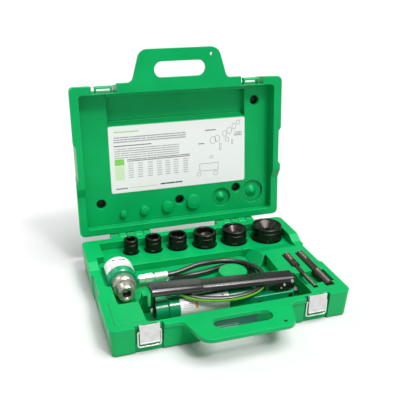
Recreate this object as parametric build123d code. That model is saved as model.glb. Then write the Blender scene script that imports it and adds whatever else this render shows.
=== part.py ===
from build123d import *
import os
from math import atan, cos, degrees, hypot, pi, radians, sin, tan

# Hydraulic knockout punch set in its moulded carry case, lid open.
# Millimetres; origin at the centre of the case's underside, x to the right,
# y towards the hinge at the back, z up.

# Case shells
CASE_W = 540.0
CASE_D = 375.0
BASE_H = 66.0
LID_H = 56.0
CORNER_R = 14.0
WALL_LEAN = 5.0
REAR_RISE = 12.0
RAMP_FOOT_Y = 59.0
RAMP_RUN = 23.0
SEAM_GAP = 0.5
SCALLOP_Y = (-45.0, 37.0)
SCALLOP_DEPTH = 6.0
SCALLOP_SLOPE = 10.0

# Lid interior
LID_RIM = 21.0
LID_REAR_RIM = 18.0
PANEL_DEPTH = 33.0
POUCH_DEPTH = 52.0
POUCH_HALF_W = 180.0
POUCH_FRONT_RIM, POUCH_REAR_CLEAR = 19.5, 6.0
POUCH_SLOPE = 8.0
CARD_W, CARD_L, CARD_T = 360.0, 171.0, 0.8
CARD_GAP = 1.4
TACK_HOLES = ((-208.0, 112.0), (-2.0, 123.0), (156.0, 107.0), (208.0, -125.0))
TACK_D, TACK_END_D, TACK_DEPTH = 27.0, 15.0, 17.0

# Bare plate on the front wall
PLATE_W, PLATE_T, PLATE_TOP_DROP, PLATE_BOTTOM_DROP = 96.0, 1.0, 22.0, 50.0

# Hinge
OPEN_ANGLE = 96.0
HINGE_BACK = 9.5
HINGE_RISE = 6.0
HINGE_PIN_D = 5.0
KNUCKLE_R = 7.0
KNUCKLE_W = 20.0
KNUCKLE_GAP = 1.0
KNUCKLE_START_X = 90.0
KNUCKLES = 5
PIN_CLEAR = 0.05

# Carrying handles, one half on each shell
HANDLE_REACH = 80.0
HANDLE_ROOT_X, HANDLE_TIP_X = 120.0, 98.0
HANDLE_T = 9.0
HANDLE_PAD_X, HANDLE_PAD_REACH = 158.0, 4.0
HANDLE_CORNER_R = 26.0
GRIP_HOLE_L, GRIP_HOLE_W, GRIP_HOLE_Y = 130.0, 38.0, 12.0
LOCK_HOLE_D, LOCK_HOLE_X, LOCK_HOLE_REACH = 8.0, 80.0, 63.0

# Draw latches
LATCH_X = 188.0
BAY_HALF_W = 30.0
BAY_DEPTH = 9.0
MID_BAY_HALF_W, MID_BAY_DEPTH = 119.0, 5.0
LEVER_W, LEVER_DROP, LEVER_T = 42.0, 39.0, 1.5
LEVER_TOP = 3.5
LATCH_PIN_D = 3.0
LATCH_PIN_OUT = 6.0
LEVER_FACE_OUT = 3.0
LEVER_FLANGE_DROP = 20.0
LEVER_TURN = 140.0
BAIL_W, BAIL_D, BAIL_PIVOT_DROP, BAIL_REACH = 48.0, 3.0, 14.0, 36.0
KEEPER_W, KEEPER_T, KEEPER_GAP = 42.0, 7.5, 10.0
KEEPER_CLEAR = 0.7

# Floors of the moulded recesses, below the front rim
SHELF_DROP = 9.0
WELL_DROP = 28.0
PUMP_DROP = 44.0

# Edges of the recesses
SHELF_FRONT_Y, SHELF_RAMP_Y, STUD_DECK_Y = 57.0, 70.0, 38.0
WELL_OVERLAP, WELL_RIGHT_X, WELL_FRONT_Y, WELL_BACK_Y = 39.0, 122.0, -80.0, 76.0
WELL_SLOPE_X, WELL_CORNER_R = 147.5, 14.0
POST_X, POST_Y, POST_R, POST_DROP = 53.0, -22.0, 34.0, 5.0
PUMP_LEFT_ROOM, PUMP_RIGHT_ROOM, PUMP_BACK_ROOM, FRONT_RIM = 30.0, 22.0, 36.0, 14.5
CRADLE_XS, CRADLE_T, CRADLE_HALF_W, CRADLE_DROP = (-92.0, 30.0), 10.0, 22.0, 14.0
GROOVE_RIM, GROOVE_SIDE_RIM, GROOVE_W, GROOVE_DEPTH = 19.5, 14.0, 2.5, 1.5
OVER, OUTSIDE = 5.0, 100.0

# Dies, from the smallest: outside diameter, hole cut, punch height
DIE_SIZES = ((35.0, 22.5, 20.0), (41.0, 28.3, 21.0), (47.0, 34.6, 22.0),
             (58.0, 43.2, 23.0), (64.0, 49.6, 31.0), (77.0, 61.5, 33.0))
DIE_H = 42.0
DIE_FLOOR = 8.0
DIE_POCKET_DROP = 6.0
DIE_POCKET_CLEAR = 3.0
DIE_GAP = 12.0
LAST_DIE_IN = 68.0
SHELF_BACK_RIM, SHELF_LEFT_RIM, SHELF_RIGHT_RIM = 19.5, 41.0, 24.0
DIE_BACK_GAP = 4.0
STUD_HOLE = 19.8
SMALL_STUD_HOLE = 10.4

# Ram
RAM_IN, RAM_DROP = 65.0, 6.0
RAM_D, RAM_BACK_Y, RAM_FRONT_Y = 70.0, 66.0, -4.0
GLAND_D, GLAND_FRONT_Y = 54.0, -26.0
PISTON_D, NOSE_Y = 40.0, -52.0
PISTON_STROKE = 22.0
NOSE_BORE_D, NOSE_BORE_L = 19.0, 24.0
RAM_PORT_Y, RAM_BOSS = 5.0, 3.0
RAM_POCKET_HALF_W = 40.0
SLIDE_CLEAR = 0.05
RAM_LABEL_BACK, RAM_LABEL_L, RAM_LABEL_HALF_W = 8.0, 42.0, 32.0

# Pump
PUMP_IN, PUMP_DROP_AXIS = 73.5, 16.0
TUBE_D, TUBE_LEFT_X, TUBE_RIGHT_X = 48.0, -122.0, 56.0
CAP_LEFT_X = -160.0
REST_T, REST_W, REST_FOOT = 5.0, 20.0, 11.0
PUMP_LABEL_X, PUMP_LABEL_L, LABEL_T = -108.0, 110.0, 0.3
PUMP_LABEL_LOW, PUMP_LABEL_HIGH, PUMP_LABEL_BACK = 13.0, 23.0, 8.0
HEAD_RIGHT_X = 160.0
HEAD_W, HEAD_TOP_DROP, HEAD_BOTTOM_DROP = 44.0, 11.0, 42.0
COLLAR_D = 50.0
PIVOT_X, PIVOT_RISE = 150.0, 14.0
LUG_W, LUG_R = 20.0, 5.5
PLUNGER_X = 132.0
PLUNGER_PIN_BACK, PLUNGER_PIN_LOWER = 19.0, 6.0
PIVOT_PIN_D, PLUNGER_PIN_D = 7.0, 6.0
PLUNGER_D = 13.0
PLUNGER_HEAD_L, PLUNGER_HEAD_W, PLUNGER_HEAD_H = 17.2, 14.0, 13.0
PLUNGER_SLOT_L, PLUNGER_SLOT_H = 11.4, 7.2
CHANNEL_W, CHANNEL_T = 42.0, 3.0
CHANNEL_RIGHT_X, CHANNEL_LEFT_X = 158.0, -168.0
CHANNEL_TOP_RISE = 9.0
CHANNEL_FLANGE = 13.0
EAR_FLANGE, EAR_LEFT_X, EAR_SLANT = 29.0, 118.0, 9.0
HANDLE_TILT = 3.8
GRIP_L, GRIP_T = 110.0, 1.6
PORT_X, PORT_DROP = 106.0, 18.5
GLAND_FLATS, GLAND_H = 17.0, 7.0
KNOB_DROP, KNOB_GAP, KNOB_R, KNOB_STEM_D, KNOB_STEM_L = 26.0, 3.0, 10.5, 6.0, 8.0

# Hose, fittings, and the route of its centre line: x, y and height above the deck
HOSE_D = 13.0
FERRULE_D = 18.0
NUT_FLATS, ADAPTER_FLATS = 19.0, 17.0
RAM_FITTING = (14.0, 18.0, 36.0)
PUMP_FITTING = (6.0, 15.0, 30.0)
HOSE_ROUTE = ((-82, 5, -6), (-54, 10, -2.5), (-25, 16.5, 1), (1, 20.5, 0), (26, 26, -2.8),
              (52.3, 27.2, -5), (78.8, 16, -6), (99, -4.2, -5), (110, -30.7, -3), (110, -59, 1),
              (104.5, -86, 3.5), (92, -112, 5.5), (72, -133, 6.5), (45, -146.5, 7.2),
              (14, -151, 6.8), (-18, -149.5, 7.5), (-49, -144, 9.5), (-76, -138, 13),
              (-98.5, -122, 17), (-112, -98, 18), (-115, -70, 14), (-110, -42.5, 3),
              (-97, -17, -9.5), (-74.5, 3, -18), (-46.5, 12.5, -21.3), (-15, 13, -21.4),
              (14, 18.5, -21.3), (39.8, 28.5, -21.4), (64, 27.5, -21.3), (85.7, 16.2, -21.4),
              (99.9, -1.9, -20.8), (106, -23, -18.5))

# Draw studs
STUD_D, SMALL_STUD_D, STUD_L = 19.05, 9.5, 152.0
STUD_HEAD_L = 56.0
STUD_IN, STUD_PITCH, STUD_BACK_Y = 33.0, 36.0, 2.0
STUD_CHANNEL_SIDE, STUD_CHANNEL_FRONT, STUD_CHANNEL_BACK = 18.0, 13.0, 65.0
STUD_SLOT_CLEAR = 1.2

# Derived places
DECK = BASE_H
REAR_DECK = BASE_H + REAR_RISE
FRONT_Y, BACK_Y = -CASE_D / 2, CASE_D / 2
SHELF_BACK_Y = BACK_Y - SHELF_BACK_RIM
PUMP_Y = FRONT_Y + PUMP_IN
POUCH_FRONT_Y = FRONT_Y + POUCH_FRONT_RIM
POUCH_REAR_Y = PUMP_Y + CHANNEL_W / 2 + GRIP_T + POUCH_REAR_CLEAR
CARD_FRONT_Y = POUCH_REAR_Y + CARD_GAP
SHELF_LEFT_X, SHELF_RIGHT_X = SHELF_LEFT_RIM - CASE_W / 2, CASE_W / 2 - SHELF_RIGHT_RIM
LAST_DIE_X = CASE_W / 2 - LAST_DIE_IN
RAM_X = RAM_IN - CASE_W / 2
LARGE_STUD_X = CASE_W / 2 - STUD_IN
SMALL_STUD_X = LARGE_STUD_X - STUD_PITCH
WELL_LEFT_X = RAM_X + WELL_OVERLAP
PUMP_POCKET_LEFT_X = CAP_LEFT_X - PUMP_LEFT_ROOM
PUMP_POCKET_RIGHT_X = HEAD_RIGHT_X + PUMP_RIGHT_ROOM
PUMP_POCKET_BACK_Y = PUMP_Y + PUMP_BACK_ROOM
HINGE_Y, HINGE_Z = BACK_Y + HINGE_BACK, BASE_H + HINGE_RISE
HINGE_AXIS = Axis((0, HINGE_Y, HINGE_Z), (1, 0, 0))
LID_TOP = BASE_H + LID_H
PANEL_Z = BASE_H + PANEL_DEPTH
BAY_Y = FRONT_Y + BAY_DEPTH
LATCH_PIN_Y, LATCH_PIN_Z = BAY_Y - LATCH_PIN_OUT, DECK
KEEPER_FOOT = DECK + hypot(LEVER_FACE_OUT + LEVER_T, LEVER_TOP) + KEEPER_CLEAR
KEEPER_TOP = DECK - BAIL_PIVOT_DROP + BAIL_REACH - BAIL_D / 2 - KEEPER_CLEAR
SHELF_Z = DECK - SHELF_DROP
WELL_Z = DECK - WELL_DROP
PUMP_FLOOR_Z = DECK - PUMP_DROP
DIE_BOTTOM_Z = SHELF_Z - DIE_POCKET_DROP
RAM_Z = DECK - RAM_DROP
PUMP_Z = DECK - PUMP_DROP_AXIS
PIVOT_Z = DECK + PIVOT_RISE
RAM_PORT_X = RAM_X + RAM_D / 2 + RAM_BOSS
PUMP_PORT_Y = PUMP_Y + HEAD_W / 2
TOUCH = 0.02


def block(x0, x1, y0, y1, z0, z1):
    """Box between two opposite corners."""
    size = (x1 - x0, y1 - y0, z1 - z0)
    return Pos((x0 + x1) / 2, (y0 + y1) / 2, (z0 + z1) / 2) * Box(*size)


def plan_prism(points, z0, z1):
    """Outline in plan, extruded from z0 to z1."""
    face = make_face(Polyline(*points, close=True))
    return Pos(0, 0, z0) * extrude(face, z1 - z0, dir=(0, 0, 1))


def side_prism(points, x0, x1):
    """Outline in (y, z), extruded from x0 to x1."""
    face = make_face(Polyline(*[(x0, y, z) for y, z in points], close=True))
    return extrude(face, x1 - x0, dir=(1, 0, 0))


def front_prism(points, y0, y1):
    """Outline in (x, z), extruded from y0 to y1."""
    face = make_face(Polyline(*[(x, y0, z) for x, z in points], close=True))
    return extrude(face, y1 - y0, dir=(0, 1, 0))


def rod_x(radius, x0, x1, y, z):
    """Round bar along x."""
    return Pos((x0 + x1) / 2, y, z) * Rot(0, 90, 0) * Cylinder(radius, x1 - x0)


def rod_y(radius, y0, y1, x, z):
    """Round bar along y."""
    return Pos(x, (y0 + y1) / 2, z) * Rot(90, 0, 0) * Cylinder(radius, y1 - y0)


def rod_z(radius, z0, z1, x, y):
    """Round bar along z."""
    return Pos(x, y, (z0 + z1) / 2) * Cylinder(radius, z1 - z0)


def turned(points):
    """Solid of revolution about z from an outline of (radius, z) points."""
    face = make_face(Polyline(*[(r, 0, z) for r, z in points], close=True))
    return revolve(face, Axis.Z)


def hexagon(flats, length):
    """Hexagonal bar along z, centred, by its width across flats."""
    return extrude(RegularPolygon(flats / 2, 6, major_radius=False), length / 2, both=True)


def swing_open(shape):
    """Turn a piece of the closed lid about the hinge to where it stands open."""
    return shape.rotate(HINGE_AXIS, -OPEN_ANGLE)


def save(shape, name):
    """Write one node, as a single solid or a group of solids."""
    solids = shape.solids()
    out = solids[0] if len(solids) == 1 else Compound(children=list(solids))
    print(f"{name}: {len(solids)} solid(s), {sum(s.volume for s in solids) / 1000:.1f} cm3")
    export_step(out, f"parts/{name}.step")


def seam_outline(lift):
    """The stepped seam between the shells, front to back, raised by lift."""
    return [(FRONT_Y - OUTSIDE, DECK + lift), (RAMP_FOOT_Y, DECK + lift),
            (RAMP_FOOT_Y + RAMP_RUN, REAR_DECK + lift), (BACK_Y + OUTSIDE, REAR_DECK + lift)]


def drafted_shell(height, downwards):
    """Rounded block of the case's outline whose walls lean in away from the seam."""
    outline = Pos(0, 0, DECK) * RectangleRounded(CASE_W, CASE_D, CORNER_R)
    lean = degrees(atan(WALL_LEAN / height))
    sign = -1 if downwards else 1
    body = extrude(outline, sign * height, taper=lean)
    if downwards:
        body += extrude(outline, REAR_RISE)
    return body


def side_scallops(z0, z1):
    """The long shallow hand recesses in both side walls."""
    y0, y1 = SCALLOP_Y
    inner, outer = CASE_W / 2 - SCALLOP_DEPTH, CASE_W / 2 + 1
    cuts = Part()
    for side in (-1, 1):
        cuts += plan_prism([(side * outer, y0 - SCALLOP_SLOPE), (side * inner, y0),
                            (side * inner, y1), (side * outer, y1 + SCALLOP_SLOPE)], z0, z1)
    return cuts


def handle_plate(z0, z1):
    """Carrying handle with its root pad, finger hole and padlock hole."""
    tip_y = FRONT_Y - HANDLE_REACH
    root_y = FRONT_Y + 20
    outline = Polyline((-HANDLE_PAD_X, root_y), (-HANDLE_PAD_X, FRONT_Y - HANDLE_PAD_REACH),
                       (-HANDLE_ROOT_X, FRONT_Y - HANDLE_PAD_REACH), (-HANDLE_TIP_X, tip_y),
                       (HANDLE_TIP_X, tip_y), (HANDLE_ROOT_X, FRONT_Y - HANDLE_PAD_REACH),
                       (HANDLE_PAD_X, FRONT_Y - HANDLE_PAD_REACH), (HANDLE_PAD_X, root_y),
                       close=True)
    face = make_face(outline)
    tips = [v for v in face.vertices() if abs(v.Y - tip_y) < 1]
    face = fillet(tips, HANDLE_CORNER_R)
    roots = [v for v in face.vertices()
             if abs(abs(v.X) - HANDLE_ROOT_X) < 1 and abs(v.Y - FRONT_Y) < 10]
    face = fillet(roots, 14)
    hole_y = FRONT_Y - GRIP_HOLE_Y - GRIP_HOLE_W / 2
    face -= Pos(0, hole_y) * SlotOverall(GRIP_HOLE_L, GRIP_HOLE_W)
    face -= Pos(LOCK_HOLE_X, FRONT_Y - LOCK_HOLE_REACH) * Circle(LOCK_HOLE_D / 2)
    return Pos(0, 0, z0) * extrude(face, z1 - z0, dir=(0, 0, 1))


def knuckle_slots():
    """(side, index, x0, x1) of every hinge knuckle on both sides."""
    for side in (-1, 1):
        for i in range(KNUCKLES):
            start = KNUCKLE_START_X + i * (KNUCKLE_W + KNUCKLE_GAP)
            ends = sorted((side * start, side * (start + KNUCKLE_W)))
            yield side, i, ends[0], ends[1]


def base_knuckle(x0, x1):
    """Lug from the rear wall round the pin, with a heel that stops the open lid."""
    lug = side_prism([(BACK_Y - 3, DECK - 20), (HINGE_Y + 2, HINGE_Z - KNUCKLE_R + 0.4),
                      (HINGE_Y + 2, HINGE_Z + KNUCKLE_R - 1), (BACK_Y - 3, HINGE_Z + KNUCKLE_R - 1)],
                     x0, x1)
    lug += rod_x(KNUCKLE_R, x0, x1, HINGE_Y, HINGE_Z)
    heel = block(x0, x1, HINGE_Y + 2, HINGE_Y + 16, HINGE_Z - 4, HINGE_Z + HINGE_BACK - 0.3)
    lug += heel.rotate(HINGE_AXIS, 90 - OPEN_ANGLE)
    return lug - rod_x(HINGE_PIN_D / 2 + PIN_CLEAR, x0 - 1, x1 + 1, HINGE_Y, HINGE_Z)


def lid_knuckle(x0, x1):
    """Lug from the closed lid's rear wall down round the pin."""
    foot = REAR_DECK + SEAM_GAP
    lug = side_prism([(BACK_Y - 3, foot), (BACK_Y + KNUCKLE_GAP, foot), (HINGE_Y - 5, HINGE_Z),
                      (HINGE_Y + 5, HINGE_Z - 2),
                      (HINGE_Y + KNUCKLE_R, HINGE_Z + 4), (BACK_Y + 3, foot + 22),
                      (BACK_Y - 3, foot + 22)], x0, x1)
    lug += rod_x(KNUCKLE_R, x0, x1, HINGE_Y, HINGE_Z)
    return lug - rod_x(HINGE_PIN_D / 2 + PIN_CLEAR, x0 - 1, x1 + 1, HINGE_Y, HINGE_Z)


def die_places():
    """x, y, pocket radius and sizes of each die, worked back from the largest."""
    places = []
    x = LAST_DIE_X
    previous = None
    for outside, hole, punch_h in reversed(DIE_SIZES):
        r = outside / 2 + DIE_POCKET_CLEAR
        if previous is not None:
            x -= previous + DIE_GAP + r
        places.append((x, SHELF_BACK_Y - DIE_BACK_GAP - r, r, outside, hole, punch_h))
        previous = r
    return places[::-1]


def recess_shelf():
    """Shelf for the dies, with the ramp that rises to the deck on its right."""
    top = REAR_DECK + OVER
    left = block(SHELF_LEFT_X, WELL_RIGHT_X, SHELF_FRONT_Y, SHELF_BACK_Y, SHELF_Z, top)
    right = side_prism([(SHELF_BACK_Y, SHELF_Z), (SHELF_RAMP_Y, SHELF_Z), (STUD_DECK_Y, DECK),
                        (STUD_DECK_Y, top), (SHELF_BACK_Y, top)], WELL_RIGHT_X - 0.1, SHELF_RIGHT_X)
    shelf = left + right
    for x, y, r, *_ in die_places():
        shelf += rod_z(r, DIE_BOTTOM_Z, SHELF_Z + 1, x, y)
    return shelf


def recess_well():
    """Deep well for the hose, sloping up on its right, with the post the hose goes round."""
    top = REAR_DECK + OVER
    right, back = WELL_RIGHT_X, WELL_BACK_Y
    well = block(WELL_LEFT_X, right, WELL_FRONT_Y, back, WELL_Z, top)
    edges = [e for e in well.edges().filter_by(Axis.Z)
             if e.center().X > right - 1 and e.center().Y > back - 1]
    well = fillet(edges, WELL_CORNER_R)
    slope = front_prism([(right - 2, WELL_Z), (WELL_SLOPE_X, DECK), (WELL_SLOPE_X, top),
                         (right - 2, top)], -16, back + 4)
    slope &= plan_prism([(right - 7, -16), (right + 27, 8), (right + 27, back - 21),
                         (right + 10, back - 1), (right - 7, back)], WELL_Z, top)
    well += slope
    well += plan_prism([(right - 4, -14), (right + 32.6, 20.2), (right + 30, -60),
                        (right - 4, -60)], WELL_Z, top)
    post = rod_z(POST_R, WELL_Z - 1, DECK - POST_DROP, POST_X, POST_Y)
    post = fillet(post.edges().sort_by(Axis.Z)[-1], 3)
    return well - post


def recess_pump():
    """Pocket for the pump along the front, with two cradle ribs under its tube."""
    pocket = block(PUMP_POCKET_LEFT_X, PUMP_POCKET_RIGHT_X, FRONT_Y + FRONT_RIM,
                   PUMP_POCKET_BACK_Y, PUMP_FLOOR_Z, DECK + OVER)
    corners = pocket.edges().filter_by(Axis.Z)
    pocket = fillet(corners, 8)
    half = CRADLE_T / 2
    for x in CRADLE_XS:
        rib = block(x - half, x + half, PUMP_Y - CRADLE_HALF_W, PUMP_Y + CRADLE_HALF_W,
                    PUMP_FLOOR_Z - 1, PUMP_Z - CRADLE_DROP)
        pocket -= rib - rod_x(TUBE_D / 2 + TOUCH, x - half - 1, x + half + 1, PUMP_Y, PUMP_Z)
    return pocket


def recess_ram():
    """Stepped pocket for the ram over a half-round cradle."""
    top = REAR_DECK + OVER
    right, front, nose = RAM_X + RAM_POCKET_HALF_W, RAM_FRONT_Y - 14, NOSE_Y - 42
    pocket = block(RAM_X - RAM_POCKET_HALF_W - 2, right, front, RAM_BACK_Y + 34, RAM_Z, top)
    pocket += block(RAM_X - 29, right, NOSE_Y - 4, front + 1, RAM_Z, top)
    pocket += block(RAM_X - 23, RAM_X + 23, nose, NOSE_Y - 3, RAM_Z - 4, top)
    pocket += rod_y(RAM_D / 2 + TOUCH, front, RAM_BACK_Y + 18, RAM_X, RAM_Z)
    pocket += rod_y(GLAND_D / 2 + 3, nose, front + 1, RAM_X, RAM_Z)
    pocket += block(RAM_X, right + 5, NOSE_Y - 4, WELL_BACK_Y, WELL_Z, top)
    return pocket


def recess_studs():
    """Half-round slots for the draw studs, with the finger channel across them."""
    r = STUD_D / 2 + STUD_SLOT_CLEAR
    y0, y1 = STUD_BACK_Y - STUD_L - 4, STUD_BACK_Y + 4
    floor = DECK - STUD_D / 2 - 1
    cuts = block(LARGE_STUD_X - r, LARGE_STUD_X + r, y0, y1, floor, DECK + OVER)
    head_y = STUD_BACK_Y - STUD_HEAD_L - 2
    cuts += block(SMALL_STUD_X - r, SMALL_STUD_X + r, head_y, y1, floor, DECK + OVER)
    thin = SMALL_STUD_D / 2 + STUD_SLOT_CLEAR
    thin_floor = floor + (STUD_D - SMALL_STUD_D) / 2
    cuts += block(SMALL_STUD_X - thin, SMALL_STUD_X + thin, y0, head_y + 1, thin_floor, DECK + OVER)
    cuts += block(SMALL_STUD_X - STUD_CHANNEL_SIDE, LARGE_STUD_X + STUD_CHANNEL_SIDE,
                  STUD_BACK_Y - STUD_L + STUD_CHANNEL_FRONT, STUD_BACK_Y - STUD_L + STUD_CHANNEL_BACK,
                  DECK - 15, DECK + OVER)
    return cuts


def rim_grooves():
    """Shallow seam groove on the front deck."""
    y0, y1, floor = FRONT_Y + GROOVE_RIM, FRONT_Y + GROOVE_RIM + GROOVE_W, DECK - GROOVE_DEPTH
    left, inner = GROOVE_SIDE_RIM - CASE_W / 2, PUMP_POCKET_LEFT_X - 7
    cuts = block(left, left + GROOVE_W, y0, PUMP_POCKET_BACK_Y - 4, floor, DECK + 1)
    cuts += block(left, inner, y0, y1, floor, DECK + 1)
    cuts += block(PUMP_POCKET_RIGHT_X - 42, 1 - left, y0, y1, floor, DECK + 1)
    return cuts


def latch_bays(z0, z1, front_depth):
    """Bays in the front wall behind both latches."""
    cuts = Part()
    for side in (-1, 1):
        x = side * LATCH_X
        cuts += block(x - BAY_HALF_W, x + BAY_HALF_W, FRONT_Y - 20, FRONT_Y + front_depth, z0, z1)
    return cuts


def case_base():
    """Lower shell in one moulding."""
    body = drafted_shell(BASE_H, downwards=True)
    below = [(FRONT_Y - OUTSIDE, -1)] + seam_outline(0) + [(BACK_Y + OUTSIDE, -1)]
    body &= side_prism(below, -CASE_W, CASE_W)
    body = fillet(body.faces().sort_by(Axis.Z)[0].edges(), 5)
    body -= side_scallops(-1, REAR_DECK + 1)
    body += handle_plate(DECK - HANDLE_T, DECK)
    body -= latch_bays(-1, DECK + 1, BAY_DEPTH)
    body -= block(-MID_BAY_HALF_W, MID_BAY_HALF_W, FRONT_Y - 1, FRONT_Y + MID_BAY_DEPTH,
                  -1, DECK - HANDLE_T)
    body -= recess_shelf()
    body -= recess_well()
    body -= recess_pump()
    body -= recess_ram()
    body -= recess_studs()
    body -= rim_grooves()
    for x in (-150, 150):
        body -= block(x - 12, x + 12, -130, 150, -1, 2.5)
    for side in (-1, 1):
        for x, z in rivet_places(side * LATCH_X):
            body -= rod_y(LATCH_PIN_D / 2, BAY_Y - 1, BAY_Y + 6, x, z)
    for side, i, x0, x1 in knuckle_slots():
        if i % 2 == 0:
            body += base_knuckle(x0, x1)
    return body


def lid_cavity():
    """Inside of the lid: panel, pouch over the pump and tack-off holes."""
    w = CASE_W - 2 * LID_RIM
    y0, y1 = FRONT_Y + 20, BACK_Y - LID_REAR_RIM
    cavity = Pos(0, (y0 + y1) / 2, DECK - 5) * extrude(RectangleRounded(w, y1 - y0, 9),
                                                      PANEL_Z - DECK + 5)
    pouch_top = BASE_H + POUCH_DEPTH
    cavity += side_prism([(POUCH_FRONT_Y, PANEL_Z - 1), (POUCH_REAR_Y, PANEL_Z - 1),
                          (POUCH_REAR_Y - POUCH_SLOPE, pouch_top), (POUCH_FRONT_Y, pouch_top)],
                         -POUCH_HALF_W, POUCH_HALF_W)
    for x, y in TACK_HOLES:
        cavity += Pos(x, y, PANEL_Z - 0.5) * turned([(0, 0), (TACK_D / 2, 0),
                                                     (TACK_END_D / 2, TACK_DEPTH), (0, TACK_DEPTH)])
    return cavity


def die_seats(solid):
    """Bosses that enter the open dies, and dished seats over the two largest."""
    for n, (x, y, r, outside, hole, punch_h) in enumerate(die_places()):
        if n < 4:
            foot = hole / 2 - 2
            boss = Pos(x, y, PANEL_Z) * turned([(0, 1), (foot, 1), (foot - 1.5, -8), (0, -9.5)])
            solid += boss
        else:
            seat = hole / 2 + 0.5
            solid -= rod_z(seat, PANEL_Z - 1, PANEL_Z + 6, x, y)
            solid += Pos(x, y, PANEL_Z + 6) * turned([(0, 1), (seat * 0.6, 1), (seat * 0.55, 0),
                                                      (3, -9), (0, -9)])
    return solid


def keeper_openings():
    """Notches over both keepers and the slots behind their bars."""
    cuts = latch_bays(KEEPER_TOP, LID_TOP + 1, KEEPER_T + KEEPER_GAP)
    half = KEEPER_W / 2
    for side in (-1, 1):
        x = side * LATCH_X
        slot_y = FRONT_Y + KEEPER_T
        cuts += block(x - BAY_HALF_W, x + BAY_HALF_W, slot_y, slot_y + KEEPER_GAP, DECK - 1, LID_TOP)
        for end in (-1, 1):
            ends = sorted((x + end * half, x + end * BAY_HALF_W))
            cuts += block(ends[0], ends[1], FRONT_Y - 20, slot_y + 1, DECK - 1, LID_TOP)
    return cuts


def keeper_bars():
    """Thin webs that carry both keeper bars, over their slots."""
    bars = Part()
    for side in (-1, 1):
        x = side * LATCH_X
        half = KEEPER_W / 2
        for end in (-1, 1):
            ends = sorted((x + end * half, x + end * (half - 4)))
            bars += block(ends[0], ends[1], FRONT_Y + 2, FRONT_Y + KEEPER_T + KEEPER_GAP + 1,
                          KEEPER_FOOT, KEEPER_TOP - 2)
    return bars


def keeper_relief():
    """Room under both keepers for the latch pins, bevelled along the raised lever."""
    turn = radians(LEVER_TURN)
    reach = LEVER_FACE_OUT + LEVER_T + KEEPER_CLEAR
    front = LATCH_PIN_Z + (reach + (FRONT_Y - LATCH_PIN_Y) * cos(turn)) / sin(turn)
    bevel_y = LATCH_PIN_Y - (reach - (KEEPER_FOOT - LATCH_PIN_Z) * sin(turn)) / cos(turn)
    back = FRONT_Y + KEEPER_T + 1
    outline = [(FRONT_Y - 1, DECK - 1), (back, DECK - 1), (back, KEEPER_FOOT), (bevel_y, KEEPER_FOOT),
               (FRONT_Y, front), (FRONT_Y - 1, front)]
    cuts = Part()
    for side in (-1, 1):
        x = side * LATCH_X
        cuts += side_prism(outline, x - BAY_HALF_W, x + BAY_HALF_W)
    return cuts


def case_lid():
    """Upper shell in one moulding, built closed and swung open."""
    body = drafted_shell(LID_H, downwards=False)
    above = seam_outline(SEAM_GAP) + [(BACK_Y + OUTSIDE, LID_TOP + 5), (FRONT_Y - OUTSIDE, LID_TOP + 5)]
    body &= side_prism(above, -CASE_W, CASE_W)
    body = fillet(body.faces().sort_by(Axis.Z)[-1].edges(), 5)
    body -= side_scallops(DECK - 1, LID_TOP + 1)
    body += handle_plate(DECK + SEAM_GAP, DECK + HANDLE_T)
    body -= lid_cavity()
    body = die_seats(body)
    body -= keeper_openings()
    body += keeper_bars()
    body -= keeper_relief()
    body -= Pos(0, 45, LID_TOP - 2.5) * extrude(RectangleRounded(380, 190, 14), 5)
    for x in (-150, 150):
        body += block(x - 11, x + 11, -45, 135, LID_TOP - 3, LID_TOP + 1.5)
    for side, i, x0, x1 in knuckle_slots():
        if i % 2 == 1:
            body += lid_knuckle(x0, x1)
    return swing_open(body)


def hinge_pin(side):
    """Steel pin through one group of knuckles."""
    reach = KNUCKLE_START_X + KNUCKLES * KNUCKLE_W + (KNUCKLES - 1) * KNUCKLE_GAP
    ends = sorted((side * (KNUCKLE_START_X - 1), side * (reach + 1)))
    return rod_x(HINGE_PIN_D / 2, ends[0], ends[1], HINGE_Y, HINGE_Z)


def instruction_card():
    """Card on the lid's inner panel."""
    sheet = extrude(RectangleRounded(CARD_W, CARD_L, 5), CARD_T)
    return swing_open(Pos(0, CARD_FRONT_Y + CARD_L / 2, PANEL_Z - CARD_T) * sheet)


def build_case():
    """Shells, hinge pins, card and the bare plate on the front wall."""
    save(case_base(), "case_base")
    save(case_lid(), "case_lid")
    save(hinge_pin(-1), "hinge_pin_left")
    save(hinge_pin(1), "hinge_pin_right")
    save(instruction_card(), "instruction_card")
    plate_y = FRONT_Y + MID_BAY_DEPTH
    save(block(-PLATE_W / 2, PLATE_W / 2, plate_y - PLATE_T, plate_y, DECK - PLATE_BOTTOM_DROP,
               DECK - PLATE_TOP_DROP), "front_plate")


def latch_bracket(x):
    """Bent steel bracket on the bay floor whose two ears hold the lever's pin."""
    y, z = LATCH_PIN_Y, LATCH_PIN_Z
    half = LEVER_W / 2 - 3.5
    bracket = block(x - half, x + half, BAY_Y - LEVER_T, BAY_Y, z - 30, z - 8)
    ear = [(y - 2.3, z - 1), (y + 2, z - 1.5), (BAY_Y, z - 9), (BAY_Y, z - 28), (y - 1, z - 12)]
    for side in (-1, 1):
        ends = sorted((x + side * half, x + side * (half - LEVER_T)))
        bracket += side_prism(ear, *ends) + rod_x(2.7, *ends, y, z)
    bracket -= rod_x(LATCH_PIN_D / 2, x - LEVER_W, x + LEVER_W, y, z)
    for rivet_x, rivet_z in rivet_places(x):
        bracket -= rod_y(LATCH_PIN_D / 2, BAY_Y - 5, BAY_Y + 1, rivet_x, rivet_z)
    return bracket


def rivet_places(x):
    """Places of the two rivets of one latch."""
    return ((x - 9, LATCH_PIN_Z - 19), (x + 9, LATCH_PIN_Z - 19))


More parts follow.
